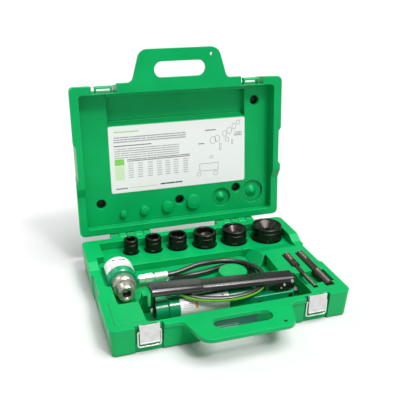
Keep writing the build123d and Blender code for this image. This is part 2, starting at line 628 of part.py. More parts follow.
def latch_rivets():
    """Domed rivets that fix both brackets to the base."""
    rivets = Part()
    for side in (-1, 1):
        for x, z in rivet_places(side * LATCH_X):
            rivets += rod_y(LATCH_PIN_D / 2, BAY_Y - 2, BAY_Y + 6, x, z)
            rivets += rod_y(3.2, BAY_Y - LEVER_T - 1.2, BAY_Y - LEVER_T, x, z)
    return rivets


def latch_lever(x):
    """Pressed lever with side flanges for the pin and the bail."""
    y, z = LATCH_PIN_Y, LATCH_PIN_Z
    half = LEVER_W / 2
    face_y = y - LEVER_FACE_OUT - LEVER_T
    lever = block(x - half, x + half, face_y, face_y + LEVER_T, z - LEVER_DROP, z + LEVER_TOP)
    lever += block(x - half, x + half, face_y - 2.5, face_y + 0.5, z - LEVER_DROP,
                   z - LEVER_DROP + LEVER_T)
    for side in (-1, 1):
        ends = sorted((x + side * half, x + side * (half - LEVER_T)))
        lever += side_prism([(face_y, z + LEVER_TOP), (y + 2.5, z + 2.5),
                             (y + 2.5, z - LEVER_FLANGE_DROP + 3), (face_y, z - LEVER_FLANGE_DROP - 4)],
                            *ends)
    lever -= rod_x(LATCH_PIN_D / 2 + PIN_CLEAR, x - LEVER_W, x + LEVER_W, y, z)
    lever -= rod_x(BAIL_D / 2 + PIN_CLEAR, x - LEVER_W, x + LEVER_W, y, z - BAIL_PIVOT_DROP)
    return lever


def latch_bail(x):
    """Bent wire loop that hangs from the lever and hooks over the keeper bar."""
    y, z = LATCH_PIN_Y, LATCH_PIN_Z - BAIL_PIVOT_DROP
    half, inner = BAIL_W / 2, LEVER_W / 2 - 2.6
    path = FilletPolyline((x - inner, y, z), (x - half, y, z), (x - half, y, z - BAIL_REACH),
                          (x + half, y, z - BAIL_REACH), (x + half, y, z), (x + inner, y, z),
                          radius=[2.2, 5, 5, 2.2])
    return sweep(Plane(origin=path @ 0, z_dir=path % 0) * Circle(BAIL_D / 2), path=path)


def build_latches():
    """Two draw latches: bracket, pin, lever and bail each, and their rivets."""
    for side, name in ((-1, "left"), (1, "right")):
        x = side * LATCH_X
        save(latch_bracket(x), f"latch_bracket_{name}")
        pin_half = LEVER_W / 2 + 0.8
        save(rod_x(LATCH_PIN_D / 2, x - pin_half, x + pin_half, LATCH_PIN_Y, LATCH_PIN_Z),
             f"latch_pin_{name}")
        save(latch_lever(x), f"latch_lever_{name}")
        save(latch_bail(x), f"latch_bail_{name}")
    save(latch_rivets(), "latch_rivets")


def die(outside, hole, stud_hole):
    """Die cup: chamfered foot, groove under the lip, bored mouth and stud hole."""
    r, bore, h = outside / 2, hole / 2, DIE_H
    return turned([(stud_hole / 2, 0), (r - 1, 0), (r, 1), (r, h - 12), (r - 0.9, h - 11.2),
                   (r - 0.9, h - 9.2), (r, h - 8.4), (r, h - 1.2), (r - 1.2, h), (bore + 0.8, h),
                   (bore, h - 0.8), (bore, DIE_FLOOR), (stud_hole / 2, DIE_FLOOR)])


def punch(hole, height, stud_hole):
    """Punch: cutting ring with two raised points, dished face and threaded hub."""
    r = hole / 2 - 0.3
    hub = stud_hole / 2 - 0.4
    dish = height * 0.62
    body = turned([(hub, 0), (r - 1, 0), (r - 1, height * 0.3), (r, height * 0.4), (r, height),
                   (r - 1.6, height), (hub + 3.2, dish), (hub + 1.2, dish), (hub, dish - 1)])
    groove = side_prism([(-r, height + 0.5), (0, height - 3.5), (r, height + 0.5), (r, height + 5),
                         (-r, height + 5)], -r - 1, r + 1)
    return body - groove


def build_dies():
    """Six dies in their pockets, each with its punch stored in its mouth."""
    for n, (x, y, r, outside, hole, punch_h) in enumerate(die_places(), 1):
        stud_hole = SMALL_STUD_HOLE if n < 3 else STUD_HOLE
        place = Pos(x, y, DIE_BOTTOM_Z)
        save(place * die(outside, hole, stud_hole), f"die_{n}")
        save(place * Pos(0, 0, DIE_FLOOR) * Rot(0, 0, 25 * n) * punch(hole, punch_h, stud_hole),
             f"punch_{n}")


def ram_place(shape):
    """Lay a piece turned about z along the ram's axis, with its foot at the rear."""
    return Pos(RAM_X, RAM_BACK_Y, RAM_Z) * Rot(90, 0, 0) * shape


def ram_station(y):
    """Distance from the ram's rear face to a place along y."""
    return RAM_BACK_Y - y


def ram_pieces():
    """Body, gland, sliding piston and wrap-round label of the ram."""
    r, front = RAM_D / 2, ram_station(RAM_FRONT_Y)
    gland_front, nose = ram_station(GLAND_FRONT_Y), ram_station(NOSE_Y)
    bore = GLAND_D / 2 - 3
    rod = PISTON_D / 2
    spigot = front - 24
    body = turned([(0, 0), (r - 5, 0), (r, 5), (r, front - 2), (r - 2, front), (bore, front),
                   (bore, 14), (0, 14)])
    body += Pos(0, 0, ram_station(RAM_PORT_Y)) * rod_x(10, r - 2, RAM_PORT_X - RAM_X, 0, 0)
    gland = turned([(rod + SLIDE_CLEAR, spigot), (bore, spigot), (bore, front),
                    (GLAND_D / 2, front), (GLAND_D / 2, gland_front - 3), (GLAND_D / 2 - 3, gland_front),
                    (rod + SLIDE_CLEAR, gland_front)])
    head = spigot - PISTON_STROKE
    hole = NOSE_BORE_D / 2
    piston = turned([(0, head - 6), (bore - SLIDE_CLEAR, head - 6), (bore - SLIDE_CLEAR, head),
                     (rod, head), (rod, nose - 3), (rod - 3, nose), (hole + 3.4, nose),
                     (hole + 3.4, nose - 0.8), (hole + 1, nose - 0.8), (hole, nose - 1.8),
                     (hole, nose - NOSE_BORE_L), (0, nose - NOSE_BORE_L - 4)])
    y0, y1 = RAM_LABEL_BACK, RAM_LABEL_BACK + RAM_LABEL_L
    ring = turned([(r, y0), (r + LABEL_T, y0), (r + LABEL_T, y1), (r, y1)])
    label = ring & block(-RAM_LABEL_HALF_W, RAM_LABEL_HALF_W, 0, RAM_D, 0, y1 + 1)
    return body, gland, piston, label


def fitting(flats, length):
    """Hexagonal fitting along z from the origin, with chamfered ends."""
    bar = Pos(0, 0, length / 2) * hexagon(flats, length)
    cone = turned([(0, 0), (flats / 2, 0), (flats / 2 * 1.17, 1.2), (flats / 2 * 1.17, length - 1.2),
                   (flats / 2, length), (0, length)])
    return bar & cone


def ferrule(length):
    """Ferrule along z from the origin, with two crimped bands, that takes the hose's end."""
    r, neck = FERRULE_D / 2, 5
    band = (length - neck - 2) / 3
    outline = [(0, 0), (r - 3, 0), (r - 3, neck), (r, neck + 2)]
    for n in (1, 2):
        end = neck + 2 + n * band
        outline += [(r, end - 3), (r - 0.8, end - 2), (r - 0.8, end), (r, end + 1)]
    return turned(outline + [(r, length - 1), (r - 1, length), (0, length)])


def fitting_line(place, lengths, end):
    """Adapter, swivel nut and ferrule in a row from a port, as (name, shape) pairs."""
    adapter_l, nut_l, ferrule_l = lengths
    nut = place * Pos(0, 0, adapter_l) * fitting(NUT_FLATS, nut_l)
    tail = place * Pos(0, 0, adapter_l + nut_l) * ferrule(ferrule_l)
    return ((f"{end}_port_adapter", place * fitting(ADAPTER_FLATS, adapter_l)),
            (f"hose_nut_{end}", nut), (f"hose_ferrule_{end}", tail))


def hose_points():
    """Centre line of the hose from the ram's ferrule to the pump's."""
    start = (RAM_PORT_X + sum(RAM_FITTING), RAM_PORT_Y, RAM_Z)
    end = (PORT_X, PUMP_PORT_Y + sum(PUMP_FITTING), DECK - PORT_DROP)
    return [start] + [(x, y, DECK + lift) for x, y, lift in HOSE_ROUTE] + [end]


def hose():
    """Tube along straight runs joined by the largest arcs that the runs allow."""
    points = [Vector(*p) for p in hose_points()]
    radii = []
    for a, b, c in zip(points, points[1:], points[2:]):
        turn = radians((b - a).get_angle(c - b))
        radii.append(0.45 * min((b - a).length, (c - b).length) / tan(turn / 2))
    path = FilletPolyline(*points, radius=radii)
    tube = sweep(Plane(origin=path @ 0, z_dir=path % 0) * Circle(HOSE_D / 2), path=path)
    section = pi * HOSE_D ** 2 / 4
    print("hose radii", [round(r) for r in radii])
    print(f"hose length {path.length:.1f}, volume ratio {tube.volume / section / path.length:.4f}")
    return tube


def build_ram():
    """Ram with its gland, piston and label, and the fittings on its port."""
    for name, shape in zip(("ram_body", "ram_gland", "ram_piston", "ram_label"), ram_pieces()):
        save(ram_place(shape), name)
    port = Pos(RAM_PORT_X, RAM_PORT_Y, RAM_Z) * Rot(0, 90, 0)
    for name, shape in fitting_line(port, RAM_FITTING, "ram"):
        save(shape, name)


def tilt(shape):
    """Turn a piece of the level handle about its pivot to its stowed angle."""
    return shape.rotate(Axis((PIVOT_X, PUMP_Y, PIVOT_Z), (0, 1, 0)), HANDLE_TILT)


def pump_head():
    """Cast head: collar round the tube, valve block, pivot lug and plunger bore."""
    top, bottom = DECK - HEAD_TOP_DROP, DECK - HEAD_BOTTOM_DROP
    half = HEAD_W / 2
    head = block(TUBE_RIGHT_X - 6, HEAD_RIGHT_X, PUMP_Y - half, PUMP_Y + half, bottom, top)
    head = fillet(head.edges().filter_by(Axis.Z).group_by(Axis.X)[-1], 9)
    head = fillet(head.faces().sort_by(Axis.Z)[-1].edges(), 3)
    head += rod_x(COLLAR_D / 2, TUBE_RIGHT_X - 8, TUBE_RIGHT_X + 4, PUMP_Y, PUMP_Z)
    lug = block(PIVOT_X - 8, PIVOT_X + LUG_R, PUMP_Y - LUG_W / 2, PUMP_Y + LUG_W / 2, top - 1, PIVOT_Z)
    lug += rod_y(LUG_R, PUMP_Y - LUG_W / 2, PUMP_Y + LUG_W / 2, PIVOT_X, PIVOT_Z)
    head += lug
    head -= rod_y(PIVOT_PIN_D / 2, PUMP_Y - 40, PUMP_Y + 40, PIVOT_X, PIVOT_Z)
    head -= rod_z(PLUNGER_D / 2 + SLIDE_CLEAR, bottom + 3, top + 1, PLUNGER_X, PUMP_Y)
    head -= rod_x(TUBE_D / 2, TUBE_RIGHT_X - 20, TUBE_RIGHT_X, PUMP_Y, PUMP_Z)
    stem = KNOB_STEM_D / 2 + PIN_CLEAR
    head -= rod_x(stem, HEAD_RIGHT_X - KNOB_STEM_L - 1, HEAD_RIGHT_X + 1, PUMP_Y, DECK - KNOB_DROP)
    return head


def pump_handle():
    """Folded steel channel with deep ears round the pivot, stowed on its slight tilt."""
    top = PIVOT_Z + CHANNEL_TOP_RISE
    half = CHANNEL_W / 2
    y0, y1 = PUMP_Y - half, PUMP_Y + half
    web = block(CHANNEL_LEFT_X, CHANNEL_RIGHT_X, y0, y1, top - CHANNEL_T, top)
    side = [(CHANNEL_LEFT_X, top), (CHANNEL_LEFT_X, top - CHANNEL_FLANGE),
            (EAR_LEFT_X - EAR_SLANT, top - CHANNEL_FLANGE), (EAR_LEFT_X, top - EAR_FLANGE),
            (CHANNEL_RIGHT_X - 5, top - EAR_FLANGE), (CHANNEL_RIGHT_X, top - EAR_FLANGE + 5),
            (CHANNEL_RIGHT_X, top)]
    channel = web + front_prism(side, y0, y0 + CHANNEL_T) + front_prism(side, y1 - CHANNEL_T, y1)
    folds = [e for e in channel.edges().filter_by(Axis.X)
             if e.center().Z > top - 0.1 and abs(abs(e.center().Y - PUMP_Y) - half) < 0.1]
    channel = fillet(folds, CHANNEL_T)
    channel -= rod_y(PIVOT_PIN_D / 2 + PIN_CLEAR, y0 - 1, y1 + 1, PIVOT_X, PIVOT_Z)
    pin_x, pin_z = PIVOT_X - PLUNGER_PIN_BACK, PIVOT_Z - PLUNGER_PIN_LOWER
    back = tilt_back(pin_x, pin_z)
    channel -= rod_y(PLUNGER_PIN_D / 2, y0 - 1, y1 + 1, *back)
    for x, z in rivet_row():
        channel -= rod_y(2, y0 - 1, y1 + 1, x, z)
    return tilt(channel)


def tilt_back(x, z):
    """Where a place of the stowed handle lies on the level one."""
    a = radians(HANDLE_TILT)
    dx, dz = x - PIVOT_X, z - PIVOT_Z
    return PIVOT_X + dx * cos(a) - dz * sin(a), PIVOT_Z + dx * sin(a) + dz * cos(a)


def rivet_row():
    """Places of the ear rivets on the level handle."""
    return ((EAR_LEFT_X + 7, PIVOT_Z - 15),)


def ear_rivets():
    """Short rivets in both ears."""
    rivets = Part()
    for x, z in rivet_row():
        for side in (-1, 1):
            outer = PUMP_Y + side * (CHANNEL_W / 2 + 1)
            ends = sorted((outer, outer - side * (CHANNEL_T + 1)))
            rivets += rod_y(2, *ends, x, z)
    return tilt(rivets)


def pump_grip():
    """Moulded sleeve over the end of the channel, open below."""
    top = PIVOT_Z + CHANNEL_TOP_RISE + GRIP_T
    half = CHANNEL_W / 2 + GRIP_T
    x0, x1 = CHANNEL_LEFT_X - 2, CHANNEL_LEFT_X + GRIP_L
    grip = block(x0, x1, PUMP_Y - half, PUMP_Y + half, top - CHANNEL_FLANGE - GRIP_T, top)
    edges = [e for e in grip.edges().filter_by(Axis.X) if e.center().Z > top - 0.1]
    grip = fillet(edges, 6)
    grip -= block(CHANNEL_LEFT_X, x1 + 1, PUMP_Y - CHANNEL_W / 2, PUMP_Y + CHANNEL_W / 2,
                  top - 40, top - GRIP_T - CHANNEL_T)
    grip -= block(CHANNEL_LEFT_X, x1 + 1, PUMP_Y - CHANNEL_W / 2, PUMP_Y + CHANNEL_W / 2,
                  top - GRIP_T - CHANNEL_T - 1, top - GRIP_T)
    return tilt(grip)


def plunger():
    """Pump plunger with the slotted head that its pin slides in."""
    z = PIVOT_Z - PLUNGER_PIN_LOWER
    half_h = PLUNGER_HEAD_H / 2
    body = rod_z(PLUNGER_D / 2, DECK - HEAD_BOTTOM_DROP + 5, z - half_h + 1, PLUNGER_X, PUMP_Y)
    body += Pos(PLUNGER_X, PUMP_Y, z) * Box(PLUNGER_HEAD_L, PLUNGER_HEAD_W, PLUNGER_HEAD_H)
    slot = extrude(SlotOverall(PLUNGER_SLOT_L, PLUNGER_SLOT_H), 20, both=True)
    return body - Pos(PLUNGER_X, PUMP_Y, z) * Rot(90, 0, 0) * slot


def pump_gland():
    """Gland nut round the plunger on top of the head."""
    nut = Pos(PLUNGER_X, PUMP_Y, DECK - HEAD_TOP_DROP) * fitting(GLAND_FLATS, GLAND_H)
    return nut - rod_z(PLUNGER_D / 2 + SLIDE_CLEAR, DECK - 40, DECK + 40, PLUNGER_X, PUMP_Y)


def release_knob():
    """Knurled release knob with its stem, on the head's right end."""
    foot, r, face = KNOB_GAP, KNOB_R, KNOB_GAP + 10.5
    knob = turned([(0, foot), (r - 1.5, foot), (r, foot + 1.5), (r, face - 1.5), (r - 1.5, face),
                   (4, face), (4, face - 1), (0, face - 1)])
    for n in range(8):
        knob -= Rot(0, 0, 45 * n) * rod_z(1.8, foot - 1, face + 1, r + 0.9, 0)
    knob += rod_z(KNOB_STEM_D / 2, -KNOB_STEM_L, foot + 1, 0, 0)
    return Pos(HEAD_RIGHT_X, PUMP_Y, DECK - KNOB_DROP) * Rot(0, 90, 0) * knob


def pump_label():
    """Bare label round the upper front of the tube."""
    r = TUBE_D / 2
    ring = turned([(r, 0), (r + LABEL_T, 0), (r + LABEL_T, PUMP_LABEL_L), (r, PUMP_LABEL_L)])
    ring = Pos(PUMP_LABEL_X, PUMP_Y, PUMP_Z) * Rot(0, 90, 0) * ring
    far_x = PUMP_LABEL_X + PUMP_LABEL_L + 1
    return ring & block(PUMP_LABEL_X - 1, far_x, PUMP_Y - r - 5, PUMP_Y - PUMP_LABEL_BACK,
                        PUMP_Z - PUMP_LABEL_LOW, PUMP_Z + PUMP_LABEL_HIGH)


def build_pump():
    """Hand pump: reservoir, caps, head, lever with its pins, plunger and release knob."""
    tube = rod_x(TUBE_D / 2, TUBE_LEFT_X, TUBE_RIGHT_X, PUMP_Y, PUMP_Z)
    save(tube, "pump_reservoir")
    cap = Pos(TUBE_LEFT_X, PUMP_Y, PUMP_Z) * Rot(0, -90, 0) * turned(
        [(0, 0), (TUBE_D / 2 + 1.5, 0), (TUBE_D / 2 + 1.5, 9), (TUBE_D / 2 - 2, 12),
         (TUBE_D / 2 - 3, TUBE_LEFT_X - CAP_LEFT_X), (0, TUBE_LEFT_X - CAP_LEFT_X)])
    save(cap, "pump_end_cap")
    save(pump_label(), "pump_label")
    rest_top = tilt_top(CAP_LEFT_X)
    save(block(CAP_LEFT_X - REST_T, CAP_LEFT_X, PUMP_Y - REST_W / 2, PUMP_Y + REST_W / 2,
               PUMP_Z - REST_FOOT, rest_top), "handle_rest")
    screw = rod_x(5, CAP_LEFT_X - REST_T - 3, CAP_LEFT_X - REST_T, PUMP_Y, PUMP_Z)
    save(screw, "rest_screw")
    save(pump_head(), "pump_head")
    save(pump_gland(), "plunger_gland")
    save(plunger(), "pump_plunger")
    save(pump_handle(), "pump_handle")
    save(pump_grip(), "pump_grip")
    save(ear_rivets(), "ear_rivets")
    pin_y = CHANNEL_W / 2 + 2
    save(rod_y(PIVOT_PIN_D / 2, PUMP_Y - pin_y, PUMP_Y + pin_y, PIVOT_X, PIVOT_Z), "pivot_pin")
    save(rod_y(PLUNGER_PIN_D / 2, PUMP_Y - pin_y, PUMP_Y + pin_y, PIVOT_X - PLUNGER_PIN_BACK,
               PIVOT_Z - PLUNGER_PIN_LOWER), "plunger_pin")
    save(release_knob(), "release_knob")
    port = Pos(PORT_X, PUMP_PORT_Y, DECK - PORT_DROP) * Rot(-90, 0, 0)
    for name, shape in fitting_line(port, PUMP_FITTING, "pump"):
        save(shape, name)
    save(hose(), "hose")


def tilt_top(x):
    """Height just under the stowed channel's web at a place along x."""
    return PIVOT_Z + CHANNEL_TOP_RISE - CHANNEL_T + (PIVOT_X - x) * sin(radians(HANDLE_TILT)) - 0.4


def draw_stud(x, thin):
    """Draw stud in its slot: full size throughout, or stepped down in front of its head."""
    r = STUD_D / 2
    z = DECK - 1
    back, front = STUD_BACK_Y, STUD_BACK_Y - STUD_L
    neck = back - STUD_HEAD_L
    if not thin:
        stud = rod_y(r, front, back, x, z)
        return chamfer(stud.edges().filter_by(GeomType.CIRCLE), 1.2)
    small = SMALL_STUD_D / 2
    outline = turned([(0, 0), (r - 1.2, 0), (r, 1.2), (r, back - neck - 2), (small + 1, back - neck),
                      (small, back - neck), (small, back - front - 1), (small - 1, back - front),
                      (0, back - front)])
    return Pos(x, back, z) * Rot(90, 0, 0) * outline


def main():
    os.makedirs("parts", exist_ok=True)
    build_case()
    build_latches()
    build_dies()
    build_ram()
    build_pump()
    save(draw_stud(SMALL_STUD_X, thin=True), "draw_stud_small")
    save(draw_stud(LARGE_STUD_X, thin=False), "draw_stud_large")


main()
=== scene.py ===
"""Looks of a hydraulic knockout punch kit in its open carry case.

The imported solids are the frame.
"""

from __future__ import annotations

import logging
import math
from dataclasses import dataclass
from enum import Enum
from typing import Any, Sequence

import bmesh
import bpy
from bmesh.types import BMesh, BMEdge, BMVert
from bpy.types import Material, NodeSocket, Object
from mathutils import Matrix, Vector

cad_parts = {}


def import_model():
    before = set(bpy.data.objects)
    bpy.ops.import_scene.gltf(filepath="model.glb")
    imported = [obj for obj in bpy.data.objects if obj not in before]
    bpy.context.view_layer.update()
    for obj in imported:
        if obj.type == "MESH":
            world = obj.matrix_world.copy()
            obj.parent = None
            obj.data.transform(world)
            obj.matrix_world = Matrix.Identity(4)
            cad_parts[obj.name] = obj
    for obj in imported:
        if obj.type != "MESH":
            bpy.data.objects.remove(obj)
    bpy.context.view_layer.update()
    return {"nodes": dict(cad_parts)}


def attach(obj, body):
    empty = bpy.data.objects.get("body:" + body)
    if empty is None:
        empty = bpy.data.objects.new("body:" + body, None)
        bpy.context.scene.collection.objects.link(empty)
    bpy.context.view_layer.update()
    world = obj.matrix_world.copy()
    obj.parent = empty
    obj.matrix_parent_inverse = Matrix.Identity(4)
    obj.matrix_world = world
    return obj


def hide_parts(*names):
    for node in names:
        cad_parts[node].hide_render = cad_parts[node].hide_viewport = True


LOG = logging.getLogger("punch_kit")

Point = Sequence[float]
MM = 0.001
TINY, CUT_MERGE = 1e-6, 1e-7
HINGE = Vector((0.0, 0.197, 0.072))
OPEN_ANGLE = math.radians(96)
CARD_LEAN = math.pi - OPEN_ANGLE
CARD_CENTRE = (0.0, 0.24429, 0.2636)
PUMP_Y = -0.114


class Body(Enum):
    """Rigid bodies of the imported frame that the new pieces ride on."""

    BASE = "base"
    LID = "lid"
    HANDLE = "pump_handle"
    RAM_PISTON = "ram_piston"


@dataclass(frozen=True)
class Channel:
    """A number that varies over a surface, with Python's operators as Math nodes."""

    shader: Shader
    socket: NodeSocket

    def _math(self, operation: str, *terms: Any) -> Channel:
        """Add one Math node.

        Args:
            operation: Blender's name of the operation.
            terms: Its inputs in order, as channels or plain numbers.

        Returns:
            The channel of the result.
        """
        inputs = dict(enumerate(terms))
        node = self.shader.node("ShaderNodeMath", {"operation": operation}, inputs)
        return Channel(self.shader, node.outputs[0])

    def __add__(self, other: Any) -> Channel:
        """Sum."""
        return self._math("ADD", self, other)

    __radd__ = __add__

    def __sub__(self, other: Any) -> Channel:
        """Difference."""
        return self._math("SUBTRACT", self, other)

    def __rsub__(self, other: Any) -> Channel:
        """Difference from a plain number."""
        return self._math("SUBTRACT", other, self)

    def __mul__(self, other: Any) -> Channel:
        """Product."""
        return self._math("MULTIPLY", self, other)

    __rmul__ = __mul__

    def __truediv__(self, other: Any) -> Channel:
        """Quotient."""
        return self._math("DIVIDE", self, other)

    def __gt__(self, other: Any) -> Channel:
        """One where this channel is the larger, else nought."""
        return self._math("GREATER_THAN", self, other)

    def __lt__(self, other: Any) -> Channel:
        """One where this channel is the smaller, else nought."""
        return self._math("LESS_THAN", self, other)

    def __abs__(self) -> Channel:
        """Size without its sign."""
        return self._math("ABSOLUTE", self)

    def floor(self) -> Channel:
        """Next whole number below."""
        return self._math("FLOOR", self)

    def fraction(self) -> Channel:
        """What is left over the next whole number below."""
        return self._math("FRACT", self)

    def smooth(self, low: float, high: float) -> Channel:
        """Ease from nought at low to one at high."""
        settings = {"interpolation_type": "SMOOTHSTEP"}
        inputs = {"Value": self, "From Min": low, "From Max": high}
        node = self.shader.node("ShaderNodeMapRange", settings, inputs)
        return Channel(self.shader, node.outputs[0])

    def within(self, low: float, high: float) -> Channel:
        """One between two numbers, else nought."""
        return (self > low) * (self < high)


class Shader:
    """One node-based material under construction."""

    def __init__(self, name: str) -> None:
        """Start a material with only its Principled shader.

        Args:
            name: The material's name.
        """
        self.material = bpy.data.materials.new(name)
        self.material.use_nodes = True
        self.tree = self.material.node_tree
        self.principled = self.tree.nodes["Principled BSDF"]

    def node(self, kind: str, settings: dict[str, Any], inputs: dict[Any, Any]) -> bpy.types.Node:
        """Add any node.

        Args:
            kind: Blender's node type.
            settings: Its properties, which are set first.
            inputs: Its sockets by name or number, as channels, links or plain values.

        Returns:
            The node.
        """
        made = self.tree.nodes.new(kind)
        for key, value in settings.items():
            setattr(made, key, value)
        for key, value in inputs.items():
            self.feed(made.inputs[key], value)
        return made

    def feed(self, socket: NodeSocket, value: Any) -> None:
        """Link or set one socket.

        Args:
            socket: The input socket.
            value: A channel, an output socket, a number or a tuple of numbers.
        """
        if isinstance(value, Channel):
            value = value.socket
        if isinstance(value, NodeSocket):
            self.tree.links.new(value, socket)
        elif socket.type == "RGBA" and len(value) == 3:
            socket.default_value = (*value, 1.0)
        else:
            socket.default_value = value

    def set(self, **sockets: Any) -> None:
        """Feed sockets of the Principled shader, named with underscores for spaces."""
        for name, value in sockets.items():
            self.feed(self.principled.inputs[name.replace("_", " ")], value)

    def where(self) -> NodeSocket:
        """Object coordinates as they are, in metres."""
        return self.node("ShaderNodeTexCoord", {}, {}).outputs["Object"]

    def place(self, centre: Point = (0, 0, 0), turn: Point = (0, 0, 0),
              scale: Point = (1, 1, 1)) -> NodeSocket:
        """Object coordinates, centred, turned and scaled.

        Args:
            centre: The point that becomes the pattern's origin, in metres.
            turn: Rotation of the pattern, in radians.
            scale: Stretch along each of the pattern's axes.

        Returns:
            The vector socket.
        """
        turned = self.node("ShaderNodeMapping", {"vector_type": "TEXTURE"},
                           {"Vector": self.where(), "Location": centre, "Rotation": turn})
        scaled = self.node("ShaderNodeVectorMath", {"operation": "MULTIPLY"},
                           {0: turned.outputs[0], 1: scale})
        return scaled.outputs[0]

    def axes(self, vector: NodeSocket) -> tuple[Channel, Channel, Channel]:
        """Split a vector into its three numbers."""
        node = self.node("ShaderNodeSeparateXYZ", {}, {"Vector": vector})
        return tuple(Channel(self, out) for out in node.outputs)

    def noise(self, vector: NodeSocket, scale: float, detail: float = 3.0,
              roughness: float = 0.5) -> Channel:
        """Smooth noise from nought to one, about its middle.

        Args:
            vector: Coordinates in metres.
            scale: Features per metre.
            detail: Octaves.
            roughness: Weight of the fine octaves.

        Returns:
            The channel.
        """
        inputs = {"Vector": vector, "Scale": scale, "Detail": detail, "Roughness": roughness}
        return Channel(self, self.node("ShaderNodeTexNoise", {}, inputs).outputs["Fac"])

    def mix(self, factor: Any, first: Any, second: Any) -> NodeSocket:
        """Blend two colours.

        Args:
            factor: Nought for the first, one for the second.
            first: A colour or a colour socket.
            second: A colour or a colour socket.

        Returns:
            The colour socket.
        """
        node = self.node("ShaderNodeMix", {"data_type": "RGBA"}, {0: factor, 6: first, 7: second})
        return node.outputs[2]

    def attribute(self, name: str) -> Channel:
        """A number stored on the mesh's points."""
        node = self.node("ShaderNodeAttribute", {"attribute_name": name}, {})
        return Channel(self, node.outputs["Fac"])

    def edges(self, radius: float) -> tuple[Channel, NodeSocket]:
        """Rounded-edge normal and where it differs from the flat one.

        Args:
            radius: Radius of the rounding, in metres.

        Returns:
            Edge mask from nought on flats, and the rounded normal.
        """
        soft = self.node("ShaderNodeBevel", {"samples": 6}, {"Radius": radius}).outputs[0]
        flat = self.node("ShaderNodeNewGeometry", {}, {}).outputs["Normal"]
        dot = self.node("ShaderNodeVectorMath", {"operation": "DOT_PRODUCT"}, {0: soft, 1: flat})
        return 1 - Channel(self, dot.outputs["Value"]), soft

    def creases(self, reach: float) -> Channel:
        """How open the surface is, from nought in a tight corner to one in the open.

        Args:
            reach: How far away a wall still counts, in metres.

        Returns:
            The channel.
        """
        node = self.node("ShaderNodeAmbientOcclusion", {"samples": 8}, {"Distance": reach})
        return Channel(self, node.outputs["AO"])

    def away_from(self, centre: Point) -> Channel:
        """Distance from a place, in metres."""
        ends = {0: self.where(), 1: centre}
        node = self.node("ShaderNodeVectorMath", {"operation": "DISTANCE"}, ends)
        return Channel(self, node.outputs["Value"])

    def bump(self, height: Channel, distance: float, strength: float = 1.0,
             normal: Any = None) -> NodeSocket:
        """Normal raised by a height channel.

        Args:
            height: The height, from nought to one.
            distance: Metres that a height of one stands up.
            strength: Share of it that shows.
            normal: A normal to start from.

        Returns:
            The normal socket.
        """
        inputs = {"Height": height, "Distance": distance, "Strength": strength}
        if normal is not None:
            inputs["Normal"] = normal
        return self.node("ShaderNodeBump", {}, inputs).outputs[0]


@dataclass(frozen=True)
class Finish:
    """A named finish that paints its own shader."""

    name: str

    def make(self) -> Material:
        """Build the material.

        Returns:
            The finished material.
        """
        s = Shader(self.name)
        self.paint(s)
        return s.material

    def paint(self, s: Shader) -> None:
        """Feed the shader's sockets.

        Args:
            s: The shader of this finish.
        """
        raise NotImplementedError


@dataclass(frozen=True)
class MouldedPlastic(Finish):
    """Blow-moulded plastic with a fine skin grain and faint waves, its edges lightened as rubbed
    wear and as a painted highlight, with painted shade in corners and in listed pits.
    """

    colour: Point
    deep: Point
    edge: Point
    # Colour of the painted shade in corners and creases, and how far it reaches.
    crease_shade: Point = (0.0, 0.10, 0.030)
    crease_shade_reach: float = 0.010
    # Centres of holes filled with painted shade, with its colour, reach and blur.
    shaded_pits: tuple[Point, ...] = ()
    pit: Point = (0.012, 0.014, 0.010)
    pit_reach: float = 0.0135
    pit_blur: float = 0.003
    roughness: float = 0.34
    grain: float = 0.00006
    round_edge: float = 0.0024

    def paint(self, s: Shader) -> None:
        """Feed the shader's sockets.

        Args:
            s: The shader of this finish.
        """
        where = s.place()
        cloud = s.noise(where, 9, 2)
        wave = s.noise(where, 42, 2)
        grain = s.noise(where, 1500, 2)
        scuff = s.noise(s.place(scale=(60, 60, 900), turn=(0.3, 0.2, 0.5)), 1, 4, 0.6)
        rub, rounded = s.edges(self.round_edge)
        body = s.mix(cloud.smooth(0.3, 0.75), self.deep, self.colour)
        # Painted shade: corners and creases are darkened by ambient occlusion.
        body = s.mix(s.creases(self.crease_shade_reach).smooth(0.15, 0.85), self.crease_shade, body)
        # Edges lightened: partly rubbed wear, partly a painted highlight.
        rubbed = s.mix(rub.smooth(0.02, 0.30) * 0.6, body, self.edge)
        tone = s.mix(scuff.smooth(0.72, 0.8) * 0.08, rubbed, self.edge)
        # Painted shade: each pit is filled with a dark colour in place of the shade inside the
        # hole.
        for pit in self.shaded_pits:
            clear = s.away_from(pit).smooth(self.pit_reach - self.pit_blur, self.pit_reach)
            tone = s.mix(clear, self.pit, tone)
        s.set(Base_Color=tone,
              Roughness=(grain - 0.5) * 0.12 + (cloud - 0.5) * 0.1 + self.roughness,
              IOR=1.5, Specular_IOR_Level=0.5, Specular_Tint=(0.25, 1.0, 0.55))
        swell = s.bump(wave, 0.0006, 0.35, rounded)
        s.set(Normal=s.bump(grain, self.grain, 0.5, swell))


@dataclass(frozen=True)
class OxideSteel(Finish):
    """Blackened steel with brighter rubbed edges and faint turning marks."""

    colour: Point
    worn: Point
    roughness: float = 0.36
    wear: float = 0.5
    stains: float = 0.12

    def paint(self, s: Shader) -> None:
        """Feed the shader's sockets.

        Args:
            s: The shader of this finish.
        """
        where = s.place()
        blotch = s.noise(where, 120, 3)
        fine = s.noise(where, 2400, 2)
        turned = s.noise(s.place(scale=(60, 60, 5200)), 1, 1)
        rub, rounded = s.edges(0.0005)
        worn = rub.smooth(0.02, 0.3) * self.wear + blotch.smooth(0.62, 0.9) * self.stains
        s.set(Base_Color=s.mix(worn, self.colour, self.worn), Metallic=0.85,
              Roughness=(blotch - 0.5) * 0.25 + self.roughness)
        marks = s.bump(turned, 0.00006, 0.35, rounded)
        s.set(Normal=s.bump(fine, 0.00003, 0.4, marks))


